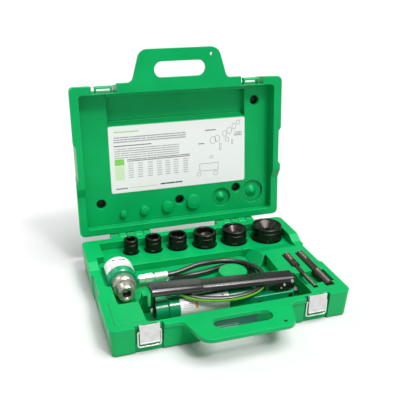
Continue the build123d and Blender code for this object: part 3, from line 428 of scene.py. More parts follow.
@dataclass(frozen=True)
class TurnedSteel(Finish):
    """Machined steel whose turning marks run round one axis."""

    colour: Point
    stain: Point
    along: Point = (60, 4200, 60)
    roughness: float = 0.27
    metal: float = 1.0

    def paint(self, s: Shader) -> None:
        """Feed the shader's sockets.

        Args:
            s: The shader of this finish.
        """
        where = s.place()
        rings = s.noise(s.place(scale=self.along), 1, 2)
        oil = s.noise(where, 70, 3)
        rub, rounded = s.edges(0.0006)
        tone = s.mix(oil.smooth(0.4, 0.75) * 0.7, self.colour, self.stain)
        s.set(Base_Color=s.mix(rub.smooth(0.02, 0.3) * 0.6, tone, (0.86, 0.83, 0.78)),
              Metallic=self.metal,
              Roughness=(rings - 0.5) * 0.3 + (oil - 0.5) * 0.15 + self.roughness)
        s.set(Normal=s.bump(rings, 0.00005, 0.5, rounded))


@dataclass(frozen=True)
class ZincPlate(Finish):
    """Zinc-plated steel: pale, faintly clouded and a little rolled."""

    colour: Point = (0.74, 0.73, 0.70)
    cloud: Point = (0.60, 0.60, 0.58)
    roughness: float = 0.34
    metal: float = 0.85

    def paint(self, s: Shader) -> None:
        """Feed the shader's sockets.

        Args:
            s: The shader of this finish.
        """
        clouds = s.noise(s.place(), 85, 3)
        rolled = s.noise(s.place(scale=(2600, 120, 120)), 1, 2)
        rub, rounded = s.edges(0.0004)
        tone = s.mix(clouds.smooth(0.35, 0.7), self.colour, self.cloud)
        s.set(Base_Color=s.mix(rub.smooth(0.05, 0.4) * 0.5, tone, (0.9, 0.9, 0.88)),
              Metallic=self.metal,
              Roughness=(clouds - 0.5) * 0.3 + (rolled - 0.5) * 0.12 + self.roughness)
        s.set(Normal=s.bump(rolled, 0.00003, 0.4, rounded))


@dataclass(frozen=True)
class Enamel(Finish):
    """Sprayed enamel with orange peel, chipped to primer at the sharpest edges."""

    colour: Point
    deep: Point
    chip: Point
    roughness: float = 0.22
    chips: float = 0.6
    round_edge: float = 0.0009
    shine: float = 0.5

    def paint(self, s: Shader) -> None:
        """Feed the shader's sockets.

        Args:
            s: The shader of this finish.
        """
        where = s.place()
        peel = s.noise(where, 620, 2)
        cloud = s.noise(where, 30, 2)
        flake = s.noise(where, 900, 3, 0.7)
        rub, rounded = s.edges(self.round_edge)
        bare = rub.smooth(0.05, 0.3) * flake.smooth(0.5, 0.62) * self.chips
        coat = s.mix(cloud.smooth(0.3, 0.7), self.deep, self.colour)
        s.set(Base_Color=s.mix(bare, coat, self.chip),
              Roughness=bare * 0.3 + (cloud - 0.5) * 0.12 + self.roughness,
              Specular_IOR_Level=self.shine, Coat_Weight=self.shine * 0.5, Coat_Roughness=0.15)
        s.set(Normal=s.bump(peel, 0.00008, 0.5, rounded))


@dataclass(frozen=True)
class GripPlastic(Finish):
    """Black moulded grip with a fine leather-like grain."""

    colour: Point = (0.016, 0.014, 0.014)

    def paint(self, s: Shader) -> None:
        """Feed the shader's sockets.

        Args:
            s: The shader of this finish.
        """
        where = s.place()
        cells = s.node("ShaderNodeTexVoronoi", {"feature": "DISTANCE_TO_EDGE"},
                       {"Vector": where, "Scale": 700})
        pebble = Channel(s, cells.outputs[0]).smooth(0.0, 0.35)
        dust = s.noise(where, 60, 3)
        rub, rounded = s.edges(0.0015)
        tone = s.mix(dust.smooth(0.5, 0.85) * 0.25 + rub * 0.3, self.colour, (0.07, 0.055, 0.05))
        s.set(Base_Color=tone, Roughness=(dust - 0.5) * 0.12 + 0.22, Specular_IOR_Level=0.9)
        s.set(Normal=s.bump(pebble, 0.00005, 0.3, rounded))


@dataclass(frozen=True)
class HoseRubber(Finish):
    """Black hose cover with a faint cloth wrap and one lime line along it."""

    line_half: float = 0.19
    colour: Point = (0.012, 0.011, 0.011)
    line: Point = (0.22, 0.70, 0.012)

    def paint(self, s: Shader) -> None:
        """Feed the shader's sockets.

        Args:
            s: The shader of this finish.
        """
        off_line, along = s.attribute("off_line"), s.attribute("along")
        wrap = (along * 520 + off_line * 6).fraction()
        weave = (abs(wrap - 0.5) * 2).smooth(0.1, 0.9)
        rubbed = s.noise(s.place(), 240, 3)
        print_gap = s.noise(s.place(), 900, 1).smooth(0.24, 0.30)
        line = (off_line < self.line_half) * print_gap
        cover = s.mix(rubbed.smooth(0.45, 0.8) * 0.5, self.colour, (0.04, 0.038, 0.038))
        s.set(Base_Color=s.mix(line, cover, self.line),
              Roughness=(rubbed - 0.5) * 0.25 + 0.32, Coat_Weight=0.5, Coat_Roughness=0.2)
        s.set(Normal=s.bump(weave, 0.00010, 0.35))


@dataclass(frozen=True)
class Print:
    """Ink in a box of a sheet, in millimetres from the sheet's centre.

    It is a plain field, or where it has a pitch, rows of short bars that stand for words.
    """

    left: float
    right: float
    bottom: float
    top: float
    ink: Point
    pitch: float = 0.0
    weight: float = 0.0


def grey(level: float) -> Point:
    """Neutral colour."""
    return level, level, level


@dataclass(frozen=True)
class PrintedSheet(Finish):
    """White film with plain bars and fields of ink.

    The first prints lie under the later ones.
    """

    centre: Point
    turn: Point
    paper: Point
    prints: tuple[Print, ...]
    roughness: float = 0.28
    word_scale: float = 420
    word_share: float = 0.36

    def paint(self, s: Shader) -> None:
        """Feed the shader's sockets.

        Args:
            s: The shader of this finish.
        """
        where = s.place(centre=self.centre, turn=self.turn)
        u, v, _ = s.axes(where)
        tint = s.noise(where, 25, 2)
        colour = s.mix(tint * 0.12, self.paper, tuple(0.9 * c for c in self.paper))
        for mark in self.prints:
            inked = (u.within(mark.left * MM, mark.right * MM)
                     * v.within(mark.bottom * MM, mark.top * MM))
            if mark.pitch:
                row = (v - mark.bottom * MM) / (mark.pitch * MM)
                spread = {0: u * self.word_scale, 1: row.floor() * 7.3, 2: mark.left * MM}
                ragged = s.node("ShaderNodeCombineXYZ", {}, spread)
                words = s.noise(ragged.outputs[0], 1, 1) > self.word_share
                inked = inked * (row.fraction() < mark.weight) * words
            colour = s.mix(inked, colour, mark.ink)
        s.set(Base_Color=colour, Roughness=tint * 0.08 + self.roughness, Coat_Weight=0.3,
              Coat_Roughness=0.2)
        s.set(Normal=s.bump(s.noise(where, 500, 1), 0.00002, 0.3))


GREEN = (0.0, 0.375, 0.098)
DEEP_GREEN = (0.0, 0.325, 0.080)
# Lighter green of rubbed edges, which also serves as a painted highlight.
EDGE_WEAR_AND_HIGHLIGHT_GREEN = (0.035, 0.62, 0.26)

CARD_PRINT = (
    Print(-168, -144, -14, 2, (0.20, 0.60, 0.08)),
    Print(-168, -144, -52, -16, (0.58, 0.76, 0.48)),
    Print(-166, -104, 69, 72, (0.34, 0.62, 0.20)),
    Print(-132, -60, -74.5, -73.5, (0.55, 0.30, 0.24)),
    Print(-168, 18, 44, 60, grey(0.32), 5.6, 0.5),
    Print(-168, -72, 34, 39, grey(0.12), 5.0, 0.5),
    Print(-168, 0, 4, 32, grey(0.36), 5.6, 0.42),
    Print(-136, 28, -6, 2, grey(0.20), 4.0, 0.6),
    *(Print(x, x + 13, -48, -10, grey(0.42), 5.8, 0.4)
      for x in (-134, -110, -84, -60, -38, -16, 10)),
    Print(-168, -138, -76, -71, grey(0.10), 5.0, 0.5),
    Print(-52, 6, -74, -68, grey(0.04), 6.0, 0.6),
    Print(70, 100, 56, 61, grey(0.14), 5.0, 0.5),
    Print(150, 172, 38, 48, grey(0.20), 4.5, 0.5),
    Print(52, 68, 22, 27, grey(0.14), 5.0, 0.5),
)
PUMP_PRINT = (
    Print(-22, -16, -14, 14, (0.75, 0.33, 0.10)),
    *(Print(x, y, 3, 6, grey(0.06)) for x, y in ((6, 16), (38, 44))),
    Print(-48, -28, -12, 10, grey(0.45), 4.2, 0.3),
    Print(-4, 44, -10, 0, grey(0.55), 5.0, 0.3),
)
RAM_PRINT = (
    *(Print(x, y, 7, 11.5, grey(0.04)) for x, y in ((-14, -7), (1, 16))),
    Print(-22, 26, -22, -8, (0.30, 0.30, 0.32), 4.6, 0.45),
    Print(-22, 6, -6, 1, (0.45, 0.22, 0.25), 4.0, 0.4),
)
PLATE_PRINT = (Print(-44, 6, -10, 4, (0.45, 0.55, 0.52), 4.6, 0.3),)


def turn_about(place: Point, angle: float, axis: str) -> Matrix:
    """Matrix that turns a piece about an axis through a place."""
    there = Matrix.Translation(place)
    return there @ Matrix.Rotation(angle, 4, axis) @ there.inverted()


LID_SWING = turn_about(HINGE, -OPEN_ANGLE, "X")
# Tack holes of the lid, opened with it, which get painted shade.
PIT_Z = 0.109
LID_PITS = tuple(tuple(LID_SWING @ Vector((x, y, PIT_Z))) for x, y in
                 ((-0.208, 0.112), (-0.002, 0.123), (0.156, 0.107), (0.208, -0.125)))

FINISHES = (
    (MouldedPlastic("case_plastic", GREEN, DEEP_GREEN, EDGE_WEAR_AND_HIGHLIGHT_GREEN), ("case_base",)),
    (MouldedPlastic("lid_plastic", GREEN, DEEP_GREEN, EDGE_WEAR_AND_HIGHLIGHT_GREEN, shaded_pits=LID_PITS), ("case_lid",)),
    (ZincPlate("latch_plate", (0.66, 0.655, 0.65), (0.58, 0.575, 0.57), 0.40, 0.25),
     ("latch_bracket_left", "latch_bracket_right", "latch_lever_left", "latch_lever_right",
      "latch_rivets")),
    (ZincPlate("bail_wire", (0.90, 0.90, 0.89), (0.82, 0.82, 0.81), 0.26, 0.6),
     ("latch_bail_left", "latch_bail_right", "latch_pin_left", "latch_pin_right",
      "hinge_pin_left", "hinge_pin_right", "pivot_pin", "plunger_pin", "ear_rivets")),
    (ZincPlate("crimped_zinc", (0.86, 0.85, 0.83), (0.74, 0.73, 0.70), 0.42, 0.6),
     ("ram_port_adapter", "hose_nut_ram", "hose_ferrule_ram", "pump_port_adapter",
      "hose_nut_pump", "hose_ferrule_pump", "rest_screw", "plunger_gland")),
    (OxideSteel("die_oxide", (0.030, 0.025, 0.022), (0.42, 0.36, 0.32), 0.32, 0.7),
     tuple(f"die_{n}" for n in range(1, 7))),
    (OxideSteel("punch_oxide", (0.060, 0.052, 0.048), (0.55, 0.50, 0.46), 0.3, 0.9),
     tuple(f"punch_{n}" for n in range(1, 7))),
    (OxideSteel("stud_oxide", (0.110, 0.086, 0.072), (0.50, 0.45, 0.40), 0.32, 0.45, 0.04),
     ("draw_stud_small", "draw_stud_large")),
    (Enamel("ram_enamel", (0.0, 0.30, 0.125), (0.0, 0.26, 0.105), (0.05, 0.12, 0.08)),
     ("ram_body",)),
    (Enamel("pump_enamel", (0.0, 0.27, 0.095), (0.0, 0.24, 0.080), (0.05, 0.12, 0.08)),
     ("pump_reservoir", "pump_end_cap", "pump_head")),
    (Enamel("handle_enamel", (0.017, 0.014, 0.014), (0.012, 0.010, 0.010), (0.14, 0.115, 0.10),
            0.27, 0.4, 0.0012, 0.45), ("pump_handle", "handle_rest")),
    (TurnedSteel("ram_steel", (0.62, 0.58, 0.52), (0.36, 0.31, 0.26), metal=0.8),
     ("ram_gland", "ram_piston")),
    (TurnedSteel("plunger_steel", (0.62, 0.61, 0.60), (0.5, 0.49, 0.47), (60, 60, 4200), 0.18),
     ("pump_plunger",)),
    (GripPlastic("grip_plastic"), ("pump_grip", "release_knob")),
    (PrintedSheet("card_print", CARD_CENTRE, (CARD_LEAN, 0.0, 0.0), (0.80, 0.81, 0.80),
                  CARD_PRINT), ("instruction_card",)),
    (PrintedSheet("pump_label_print", (-0.053, -0.1305, 0.0665), (math.radians(45), 0.0, 0.0),
                  grey(0.82), PUMP_PRINT), ("pump_label",)),
    (PrintedSheet("ram_label_print", (-0.205, 0.037, 0.095), (0.0, 0.0, 0.0), grey(0.82),
                  RAM_PRINT), ("ram_label",)),
    (PrintedSheet("plate_print", (0.0, -0.1835, 0.030), (math.radians(90), 0.0, 0.0),
                  (0.0, 0.16, 0.10), PLATE_PRINT), ("front_plate",)),
)
RUBBER = HoseRubber("hose_rubber")
INK = Enamel("ink", grey(0.10), grey(0.08), grey(0.2), roughness=0.5, chips=0.0)
STAMP = ZincPlate("stamped_size", (0.40, 0.37, 0.34), (0.30, 0.28, 0.26), 0.5)


HOSE_ROUTE = (
    (-0.099, 0.005, 0.060), (-0.082, 0.005, 0.060), (-0.054, 0.010, 0.0635),
    (-0.025, 0.0165, 0.067), (0.001, 0.0205, 0.066), (0.026, 0.026, 0.0632),
    (0.0523, 0.0272, 0.061), (0.0788, 0.016, 0.060), (0.099, -0.0042, 0.061),
    (0.110, -0.0307, 0.063), (0.110, -0.059, 0.067), (0.1045, -0.086, 0.0695),
    (0.092, -0.112, 0.0715), (0.072, -0.133, 0.0725), (0.045, -0.1465, 0.0732),
    (0.014, -0.151, 0.0728), (-0.018, -0.1495, 0.0735), (-0.049, -0.144, 0.0755),
    (-0.076, -0.138, 0.079), (-0.0985, -0.122, 0.083), (-0.112, -0.098, 0.084),
    (-0.115, -0.070, 0.080), (-0.110, -0.0425, 0.069), (-0.097, -0.017, 0.0565),
    (-0.0745, 0.003, 0.048), (-0.0465, 0.0125, 0.0447), (-0.015, 0.013, 0.0446),
    (0.014, 0.0185, 0.0447), (0.0398, 0.0285, 0.0446), (0.064, 0.0275, 0.0447),
    (0.0857, 0.0162, 0.0446), (0.0999, -0.0019, 0.0452), (0.106, -0.023, 0.0475),
    (0.106, -0.041, 0.0475),
)


def in_scene(name: str, data: bpy.types.ID) -> Object:
    """Put a new object into the scene.

    Args:
        name: Its name.
        data: Its mesh, curve, lamp or camera.

    Returns:
        The object.
    """
    made = bpy.data.objects.new(name, data)
    bpy.context.scene.collection.objects.link(made)
    return made


def mesh_of(curve: bpy.types.Curve) -> bpy.types.Mesh:
    """Mesh that a curve or a text gives.

    Args:
        curve: The curve or text.

    Returns:
        The mesh, which the caller removes.
    """
    holder = in_scene(curve.name, curve)
    bpy.context.view_layer.update()
    graph = bpy.context.evaluated_depsgraph_get()
    mesh = bpy.data.meshes.new_from_object(holder.evaluated_get(graph))
    bpy.data.objects.remove(holder)
    return mesh


def new_mesh(name: str, bm: BMesh, material: Material, smooth: float = 35.0) -> Object:
    """Turn a finished bmesh into a piece at the origin.

    Args:
        name: The piece's name.
        It is freed.
        material: Its finish.
        smooth: Largest angle between faces that are shaded as one surface, in degrees.

    Returns:
        The piece.
    """
    for face in bm.faces:
        face.smooth = True
    for edge in bm.edges:
        if len(edge.link_faces) == 2 and edge.calc_face_angle(0) > math.radians(smooth):
            edge.smooth = False
    mesh = bpy.data.meshes.new(name)
    bm.to_mesh(mesh)
    bm.free()
    mesh.materials.append(material)
    return in_scene(name, mesh)


def add_piece(piece: Object, body: Body, instead_of: Sequence[str] = ()) -> Object:
    """Attach a piece to the frame.

    Args:
        piece: The finished piece.
        body: The rigid body that it moves with.
        instead_of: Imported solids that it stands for.

    Returns:
        The piece.
    """
    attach(piece, body.value)
    if instead_of:
        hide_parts(*instead_of)
    LOG.info("%s rides on %s, %d faces", piece.name, body.value, len(piece.data.polygons))
    return piece


def lathe(bm: BMesh, outline: Sequence[tuple[float, float]], steps: int) -> None:
    """Spin an outline into a closed round bar about its own z axis.

    Args:
        bm: Where the bar is added.
        outline: (radius, z) points from one end to the other, both on the axis.
        steps: Facets round the bar.
    """
    verts = [bm.verts.new((radius, 0, z)) for radius, z in outline]
    edges = [bm.edges.new(pair) for pair in zip(verts, verts[1:])]
    bmesh.ops.spin(bm, geom=verts + edges, cent=(0, 0, 0), axis=(0, 0, 1), angle=math.tau,
                   steps=steps, use_merge=True)
    bmesh.ops.remove_doubles(bm, verts=bm.verts, dist=TINY)
    bmesh.ops.recalc_face_normals(bm, faces=bm.faces)


def thread_rib(root: float, crest: float, pitch: float, start: float, end: float,
               steps: int = 28) -> BMesh:
    """Helical rib of a screw thread about the z axis.

    Args:
        root: Radius that the rib's foot lies at.
        crest: Radius of its sharp edge, outside or inside the root.
        pitch: Distance from one turn to the next.
        start: Height of its first turn.
        end: Height of its last turn.
        steps: Facets in one turn.

    Returns:
        The rib as a bmesh of its own.
    """
    bm = bmesh.new()
    turns = (end - start) / pitch
    count = max(4, round(turns * steps))
    half = pitch * RIB_SHARE
    foot = root + math.copysign(RIB_SINK, root - crest)
    verts = [bm.verts.new(place) for place in
             ((foot, 0, start - half), (crest, 0, start), (foot, 0, start + half))]
    edges = [bm.edges.new((verts[i], verts[(i + 1) % 3])) for i in range(3)]
    bmesh.ops.spin(bm, geom=verts + edges, cent=(0, 0, 0), axis=(0, 0, 1),
                   dvec=(0, 0, (end - start) / count), angle=math.tau * turns, steps=count,
                   use_merge=False)
    bmesh.ops.holes_fill(bm, edges=[e for e in bm.edges if e.is_boundary], sides=3)
    bmesh.ops.recalc_face_normals(bm, faces=bm.faces)
    return bm


def box(low: Point, high: Point) -> BMesh:
    """Start a bmesh with one box between two corners.

    Args:
        low: Its lowest corner.
        high: Its highest corner.

    Returns:
        The bmesh.
    """
    bm = bmesh.new()
    centre = Matrix.Translation((Vector(low) + Vector(high)) / 2)
    size = Matrix.Diagonal((*(Vector(high) - Vector(low)), 1))
    bmesh.ops.create_cube(bm, size=1, matrix=centre @ size)
    return bm


def cut_across(bm: BMesh, x: float) -> None:
    """Cut every face of a bmesh where it crosses one x.

    Args:
        bm: The bmesh.
        x: Where the cut lies.
    """
    geometry = bm.verts[:] + bm.edges[:] + bm.faces[:]
    bmesh.ops.bisect_plane(bm, geom=geometry, dist=CUT_MERGE, plane_co=(x, 0, 0),
                           plane_no=(1, 0, 0))


def take_in(bm: BMesh, part: BMesh) -> None:
    """Move one bmesh's shape into another.

    Args:
        bm: The one that grows.
        part: The one that is used up.
    """
    mesh = bpy.data.meshes.new("part")
    part.to_mesh(mesh)
    part.free()
    bm.from_mesh(mesh)
    bpy.data.meshes.remove(mesh)


@dataclass
class Fitting:
    """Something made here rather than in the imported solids."""

    material: Material

    def build(self) -> None:
        """Make it and attach it to the frame."""
        raise NotImplementedError


@dataclass(frozen=True)
class ThreadRun:
    """One threaded stretch of a bar, from start to end along it."""

    start: float
    end: float
    radius: float
    pitch: float
    depth: float


@dataclass
class DrawStud(Fitting):
    """Draw stud turned from bar, with its screw threads."""

    name: str
    node: str
    place: Point
    outline: tuple[tuple[float, float], ...]
    threads: tuple[ThreadRun, ...]
    facets: int = 48

    def build(self) -> None:
        """Make the stud lying along -y from its rear end."""
        bm = bmesh.new()
        lathe(bm, self.outline, self.facets)
        for run in self.threads:
            rib = thread_rib(run.radius - run.depth, run.radius, run.pitch,
                             run.start + run.pitch, run.end - run.pitch)
            take_in(bm, rib)
        bmesh.ops.transform(bm, matrix=lying_forward(self.place), verts=bm.verts)
        piece = new_mesh(self.name, bm, self.material)
        add_piece(piece, Body.BASE, (self.node,))


def lying_forward(place: Point) -> Matrix:
    """Matrix that lays a piece turned about z along -y, with its foot at a place."""
    return Matrix.Translation(place) @ Matrix.Rotation(math.radians(90), 4, "X")


BAR_R, THIN_R = 0.009525, 0.00475
BAR_CUT, THIN_CUT = 0.0009, 0.0006
BAR_PITCH, THIN_PITCH = 0.00159, 0.00106
STUD_L, STUD_HEAD_L, STUD_Z = 0.152, 0.056, 0.065
CHAMFER, END_STEP = 0.0012, 0.0004
RIB_SHARE, RIB_SINK = 0.46, 0.0002


def draw_studs(steel: Material) -> tuple[DrawStud, DrawStud]:
    """Stud of one size threaded at both ends, and one stepped down before its head.

    Args:
        steel: Their finish.

    Returns:
        The large stud and the small one.
    """
    root, thin_root = BAR_R - BAR_CUT, THIN_R - THIN_CUT
    end = ((0, 0), (root - END_STEP, 0), (root, CHAMFER))
    rear, front = 0.042, 0.094
    large = (*end, (root, rear), (BAR_R, rear + CHAMFER), (BAR_R, front - CHAMFER),
             (root, front), (root, STUD_L - CHAMFER), (root - END_STEP, STUD_L), (0, STUD_L))
    large_runs = (ThreadRun(0, rear + MM, BAR_R, BAR_PITCH, BAR_CUT),
                  ThreadRun(front - MM, STUD_L, BAR_R, BAR_PITCH, BAR_CUT))
    rear, front = 0.036, 0.100
    small = (*end, (root, rear), (BAR_R, rear + CHAMFER), (BAR_R, STUD_HEAD_L - 2 * MM),
             (THIN_R + MM, STUD_HEAD_L), (THIN_R, STUD_HEAD_L), (THIN_R, front - MM),
             (thin_root, front), (thin_root, STUD_L - MM), (thin_root - 0.6 * MM, STUD_L),
             (0, STUD_L))
    small_runs = (ThreadRun(0, rear + MM, BAR_R, BAR_PITCH, BAR_CUT),
                  ThreadRun(front - MM, STUD_L, THIN_R, THIN_PITCH, THIN_CUT))
    return (DrawStud(steel, "draw_stud_threaded", "draw_stud_large", (0.237, 0.002, STUD_Z),
                     large, large_runs),
            DrawStud(steel, "draw_stud_stepped", "draw_stud_small", (0.201, 0.002, STUD_Z),
                     small, small_runs))


@dataclass
class RamNose(Fitting):
    """Screw thread inside the ram's nose, dark as painted shade inside the bore."""

    bore: float = 0.0095
    depth: float = 0.0008
    mouth_y: float = -0.0502
    length: float = 0.0215
    x: float = -0.205
    z: float = 0.060
    facets: int = 40

    def build(self) -> None:
        """Make the thread."""
        bm = thread_rib(self.bore, self.bore - self.depth, BAR_PITCH, BAR_PITCH,
                        self.length - BAR_PITCH, self.facets)
        rear = (self.x, self.mouth_y + self.length, self.z)
        bmesh.ops.transform(bm, matrix=lying_forward(rear), verts=bm.verts)
        piece = new_mesh("ram_nose_thread", bm, self.material)
        add_piece(piece, Body.RAM_PISTON)


@dataclass
class Hose(Fitting):
    """Hydraulic hose wound round the post, with its printed lime line."""

    radius: float = 0.0065
    sides: int = 36
    samples: int = 8
    line_towards: Point = (0.0, -0.95, -0.31)
    line_point: Point = (0.014, -0.151, 0.0728)
    length: float = 0.9073

    def centre_line(self) -> list[Vector]:
        """Read points off the smooth spline of the route.

        Returns:
            The points, from the ram's ferrule to the pump's.
        """
        curve = bpy.data.curves.new("hose_line", "CURVE")
        curve.dimensions = "3D"
        spline = curve.splines.new("NURBS")
        spline.points.add(len(HOSE_ROUTE) - 1)
        for point, place in zip(spline.points, HOSE_ROUTE):
            point.co = (*place, 1.0)
        spline.order_u = 3
        spline.use_endpoint_u = True
        spline.resolution_u = self.samples
        line = mesh_of(curve)
        points = [vertex.co.copy() for vertex in line.vertices]
        bpy.data.meshes.remove(line)
        return points

    def frames(self, points: list[Vector]) -> list[Matrix]:
        """Carry one cross-section along the line without twisting it.

        Args:
            points: The centre line.

        Returns:
            A matrix for the ring at each point.
        """
        heading = (points[1] - points[0]).normalized()
        turn = Vector((0, 0, 1)).rotation_difference(heading)
        placed = [Matrix.Translation(points[0]) @ turn.to_matrix().to_4x4()]
        for before, here, after in zip(points, points[1:], points[2:] + points[-1:]):
            ahead = (after - before).normalized()
            turn = heading.rotation_difference(ahead) @ turn
            heading = ahead
            placed.append(Matrix.Translation(here) @ turn.to_matrix().to_4x4())
        return placed

    def line_index(self, points: list[Vector], frames: list[Matrix]) -> int:
        """Find the tube's corner that carries the printed line.

        Args:
            points: The centre line.
            frames: The rings' matrices.

        Returns:
            The corner's number.
        """
        target = Vector(self.line_point)
        nearest = min(range(len(points)), key=lambda i: (points[i] - target).length)
        towards = frames[nearest].to_3x3().inverted() @ Vector(self.line_towards)
        angle = math.atan2(towards.y, towards.x) % math.tau
        return round(angle / math.tau * self.sides) % self.sides

    def build(self) -> None:
        points = self.centre_line()
        frames = self.frames(points)
        line_at = self.line_index(points, frames)
        bm = bmesh.new()
        off_line = bm.verts.layers.float.new("off_line")
        along = bm.verts.layers.float.new("along")
        ring = [bm.verts.new((self.radius * math.cos(math.tau * n / self.sides),
                              self.radius * math.sin(math.tau * n / self.sides), 0))
                for n in range(self.sides)]
        for n, vertex in enumerate(ring):
            gap = abs(n - line_at)
            vertex[off_line] = min(gap, self.sides - gap) / (self.sides / 2)
        edges = [bm.edges.new((ring[n - 1], ring[n])) for n in range(self.sides)]
        bm.faces.new(ring)
        bmesh.ops.transform(bm, matrix=frames[0], verts=ring)
        travelled = 0.0
        for before, here, old, new in zip(points, points[1:], frames, frames[1:]):
            travelled += (here - before).length
            made = bmesh.ops.extrude_edge_only(bm, edges=edges)["geom"]
            ring = [item for item in made if isinstance(item, BMVert)]
            edges = [item for item in made if isinstance(item, BMEdge)]
            bmesh.ops.transform(bm, matrix=new @ old.inverted(), verts=ring)
            for vertex in ring:
                vertex[along] = travelled
        bmesh.ops.contextual_create(bm, geom=edges)
        bmesh.ops.recalc_face_normals(bm, faces=bm.faces)
        piece = new_mesh("hose_cover", bm, self.material)
        hose = add_piece(piece, Body.BASE, ("hose",))
        LOG.info("hose line is %.1f mm long", travelled / MM)


@dataclass
class SizeMarks(Fitting):
    """Stamped sizes on the fronts of the dies, which stand along one back line."""

    sizes: tuple[str, ...] = ("1/2", "3/4", "1", "1-1/4", "1-1/2", "2")
    outside: tuple[float, ...] = (0.035, 0.041, 0.047, 0.058, 0.064, 0.077)
    last_x: float = 0.202
    back_y: float = 0.164
    clear: float = 0.003
    gap: float = 0.012
    height: float = 0.0065
    z: float = 0.0625
    facing: float = math.radians(-108)
    strip: float = 0.0012
    proud: float = 0.00008

    def letters(self, text: str) -> BMesh:
        """Flat letters centred on the origin, cut into narrow strips.

        Args:
            text: What is stamped.

        Returns:
            The letters as a bmesh.
        """
        curve = bpy.data.curves.new("size", "FONT")
        curve.body = text
        curve.size = self.height
        curve.align_x, curve.align_y = "CENTER", "CENTER"
        curve.resolution_u = 3
        flat = mesh_of(curve)
        bm = bmesh.new()
        bm.from_mesh(flat)
        bpy.data.meshes.remove(flat)
        reach = max(abs(v.co.x) for v in bm.verts)
        cuts = int(reach / self.strip)
        for n in range(-cuts, cuts + 1):
            cut_across(bm, n * self.strip)
        return bm

    def build(self) -> None:
        """Wrap each size round its die."""
        pockets = [wide / 2 + self.clear for wide in self.outside]
        for n, (text, wide, pocket) in enumerate(zip(self.sizes, self.outside, pockets)):
            pairs = zip(pockets[n:], pockets[n + 1:])
            x = self.last_x - sum(here + after + self.gap for here, after in pairs)
            radius = wide / 2
            out = radius + self.proud
            bm = self.letters(text)
            for vertex in bm.verts:
                angle = self.facing + vertex.co.x / radius
                vertex.co = (x + out * math.cos(angle),
                             self.back_y - pocket + out * math.sin(angle),
                             self.z + vertex.co.y)
            piece = new_mesh(f"size_mark_{n + 1}", bm, self.material)
            add_piece(piece, Body.BASE)


@dataclass
class CardDrawing(Fitting):
    """Plain line drawing on the instruction card: a few turned parts in a row.

    Its rings and boxes are (x, y, half width, half height) in millimetres on the card.
    """

    lift: float = 0.00095
    line: float = 0.0008
    ring_sides: int = 28
    rings: tuple[tuple[float, float, float, float], ...] = (
        (92, 30, 8, 10), (104, 34, 7, 9), (124, 45, 6, 8), (137, 52, 7, 9), (150, 62, 6, 8),
        (131, 29, 5, 6), (87, -14, 5, 4), (52, -58, 5, 5), (98, -58, 6, 6), (162, 72, 5, 6))
    boxes: tuple[tuple[float, float, float, float], ...] = (
        (80, -40, 52, 20), (112, 12, 5, 18), (145, 22, 4, 12))

    def build(self) -> None:
        """Lay the outlines on the card."""
        bm = bmesh.new()
        for x, y, wide, high in self.rings:
            self.outline(bm, x * MM, y * MM, wide * MM, high * MM, self.ring_sides)
        for x, y, wide, high in self.boxes:
            corner = MM / math.sqrt(2)
            self.outline(bm, x * MM, y * MM, wide * corner, high * corner, 4)
        lean = Matrix.Rotation(CARD_LEAN, 4, "X")
        lay = Matrix.Translation(CARD_CENTRE) @ lean @ Matrix.Translation((0, 0, self.lift))
        bmesh.ops.transform(bm, matrix=lay, verts=bm.verts)
        add_piece(new_mesh("card_drawing", bm, self.material), Body.LID)

    def outline(self, bm: BMesh, x: float, y: float, wide: float, high: float, sides: int) -> None:
        """Add one closed outline.

        Args:
            bm: Where it is added.
            x: Its middle, across the card.
            y: Its middle, up the card.
            wide: Half its width.
            high: Half its height.
            sides: Corners of the outline.
        """
        turn = Matrix.Rotation(math.pi / sides if sides == 4 else 0.0, 4, "Z")
        place = Matrix.Translation((x, y, 0)) @ Matrix.Diagonal((wide, high, 1, 1)) @ turn
        made = bmesh.ops.create_circle(bm, cap_ends=True, segments=sides, radius=1, matrix=place)
        face = made["verts"][0].link_faces[0]
        rim = bmesh.ops.inset_region(bm, faces=[face], thickness=self.line, use_boundary=True,
                                     use_even_offset=True)["faces"]
        bmesh.ops.delete(bm, geom=[face], context="FACES_ONLY")
        for piece in rim:
            if piece.normal.z < 0:
                piece.normal_flip()


@dataclass
class PouchLedges(Fitting):
    """Moulded steps along the upper and lower walls of the lid's pouch.

    Each step is (front y, rear y, foot z) in the shut lid.
    """

    half_w: float = 0.1805
    top: float = 0.119
    steps: tuple[tuple[float, float, float], ...] = (
        (-0.169, -0.1560, 0.096), (-0.095, -0.0905, 0.1145))
    soft: float = 0.0016

    def build(self) -> None:
        """Make the steps in the shut lid's frame, then open them with it."""
        bm = bmesh.new()
        for front, rear, foot in self.steps:
            step = box((-self.half_w, front, foot), (self.half_w, rear, self.top))
            low = [edge for edge in step.edges if all(v.co.z < foot + TINY for v in edge.verts)
                   and abs(edge.verts[0].co.y - edge.verts[1].co.y) < TINY]
            bmesh.ops.bevel(step, geom=low, offset=self.soft, segments=3, profile=0.5,
                            affect="EDGES", material=-1)
            take_in(bm, step)
        bmesh.ops.transform(bm, matrix=LID_SWING, verts=bm.verts)
        add_piece(new_mesh("pouch_ledges", bm, self.material), Body.LID)


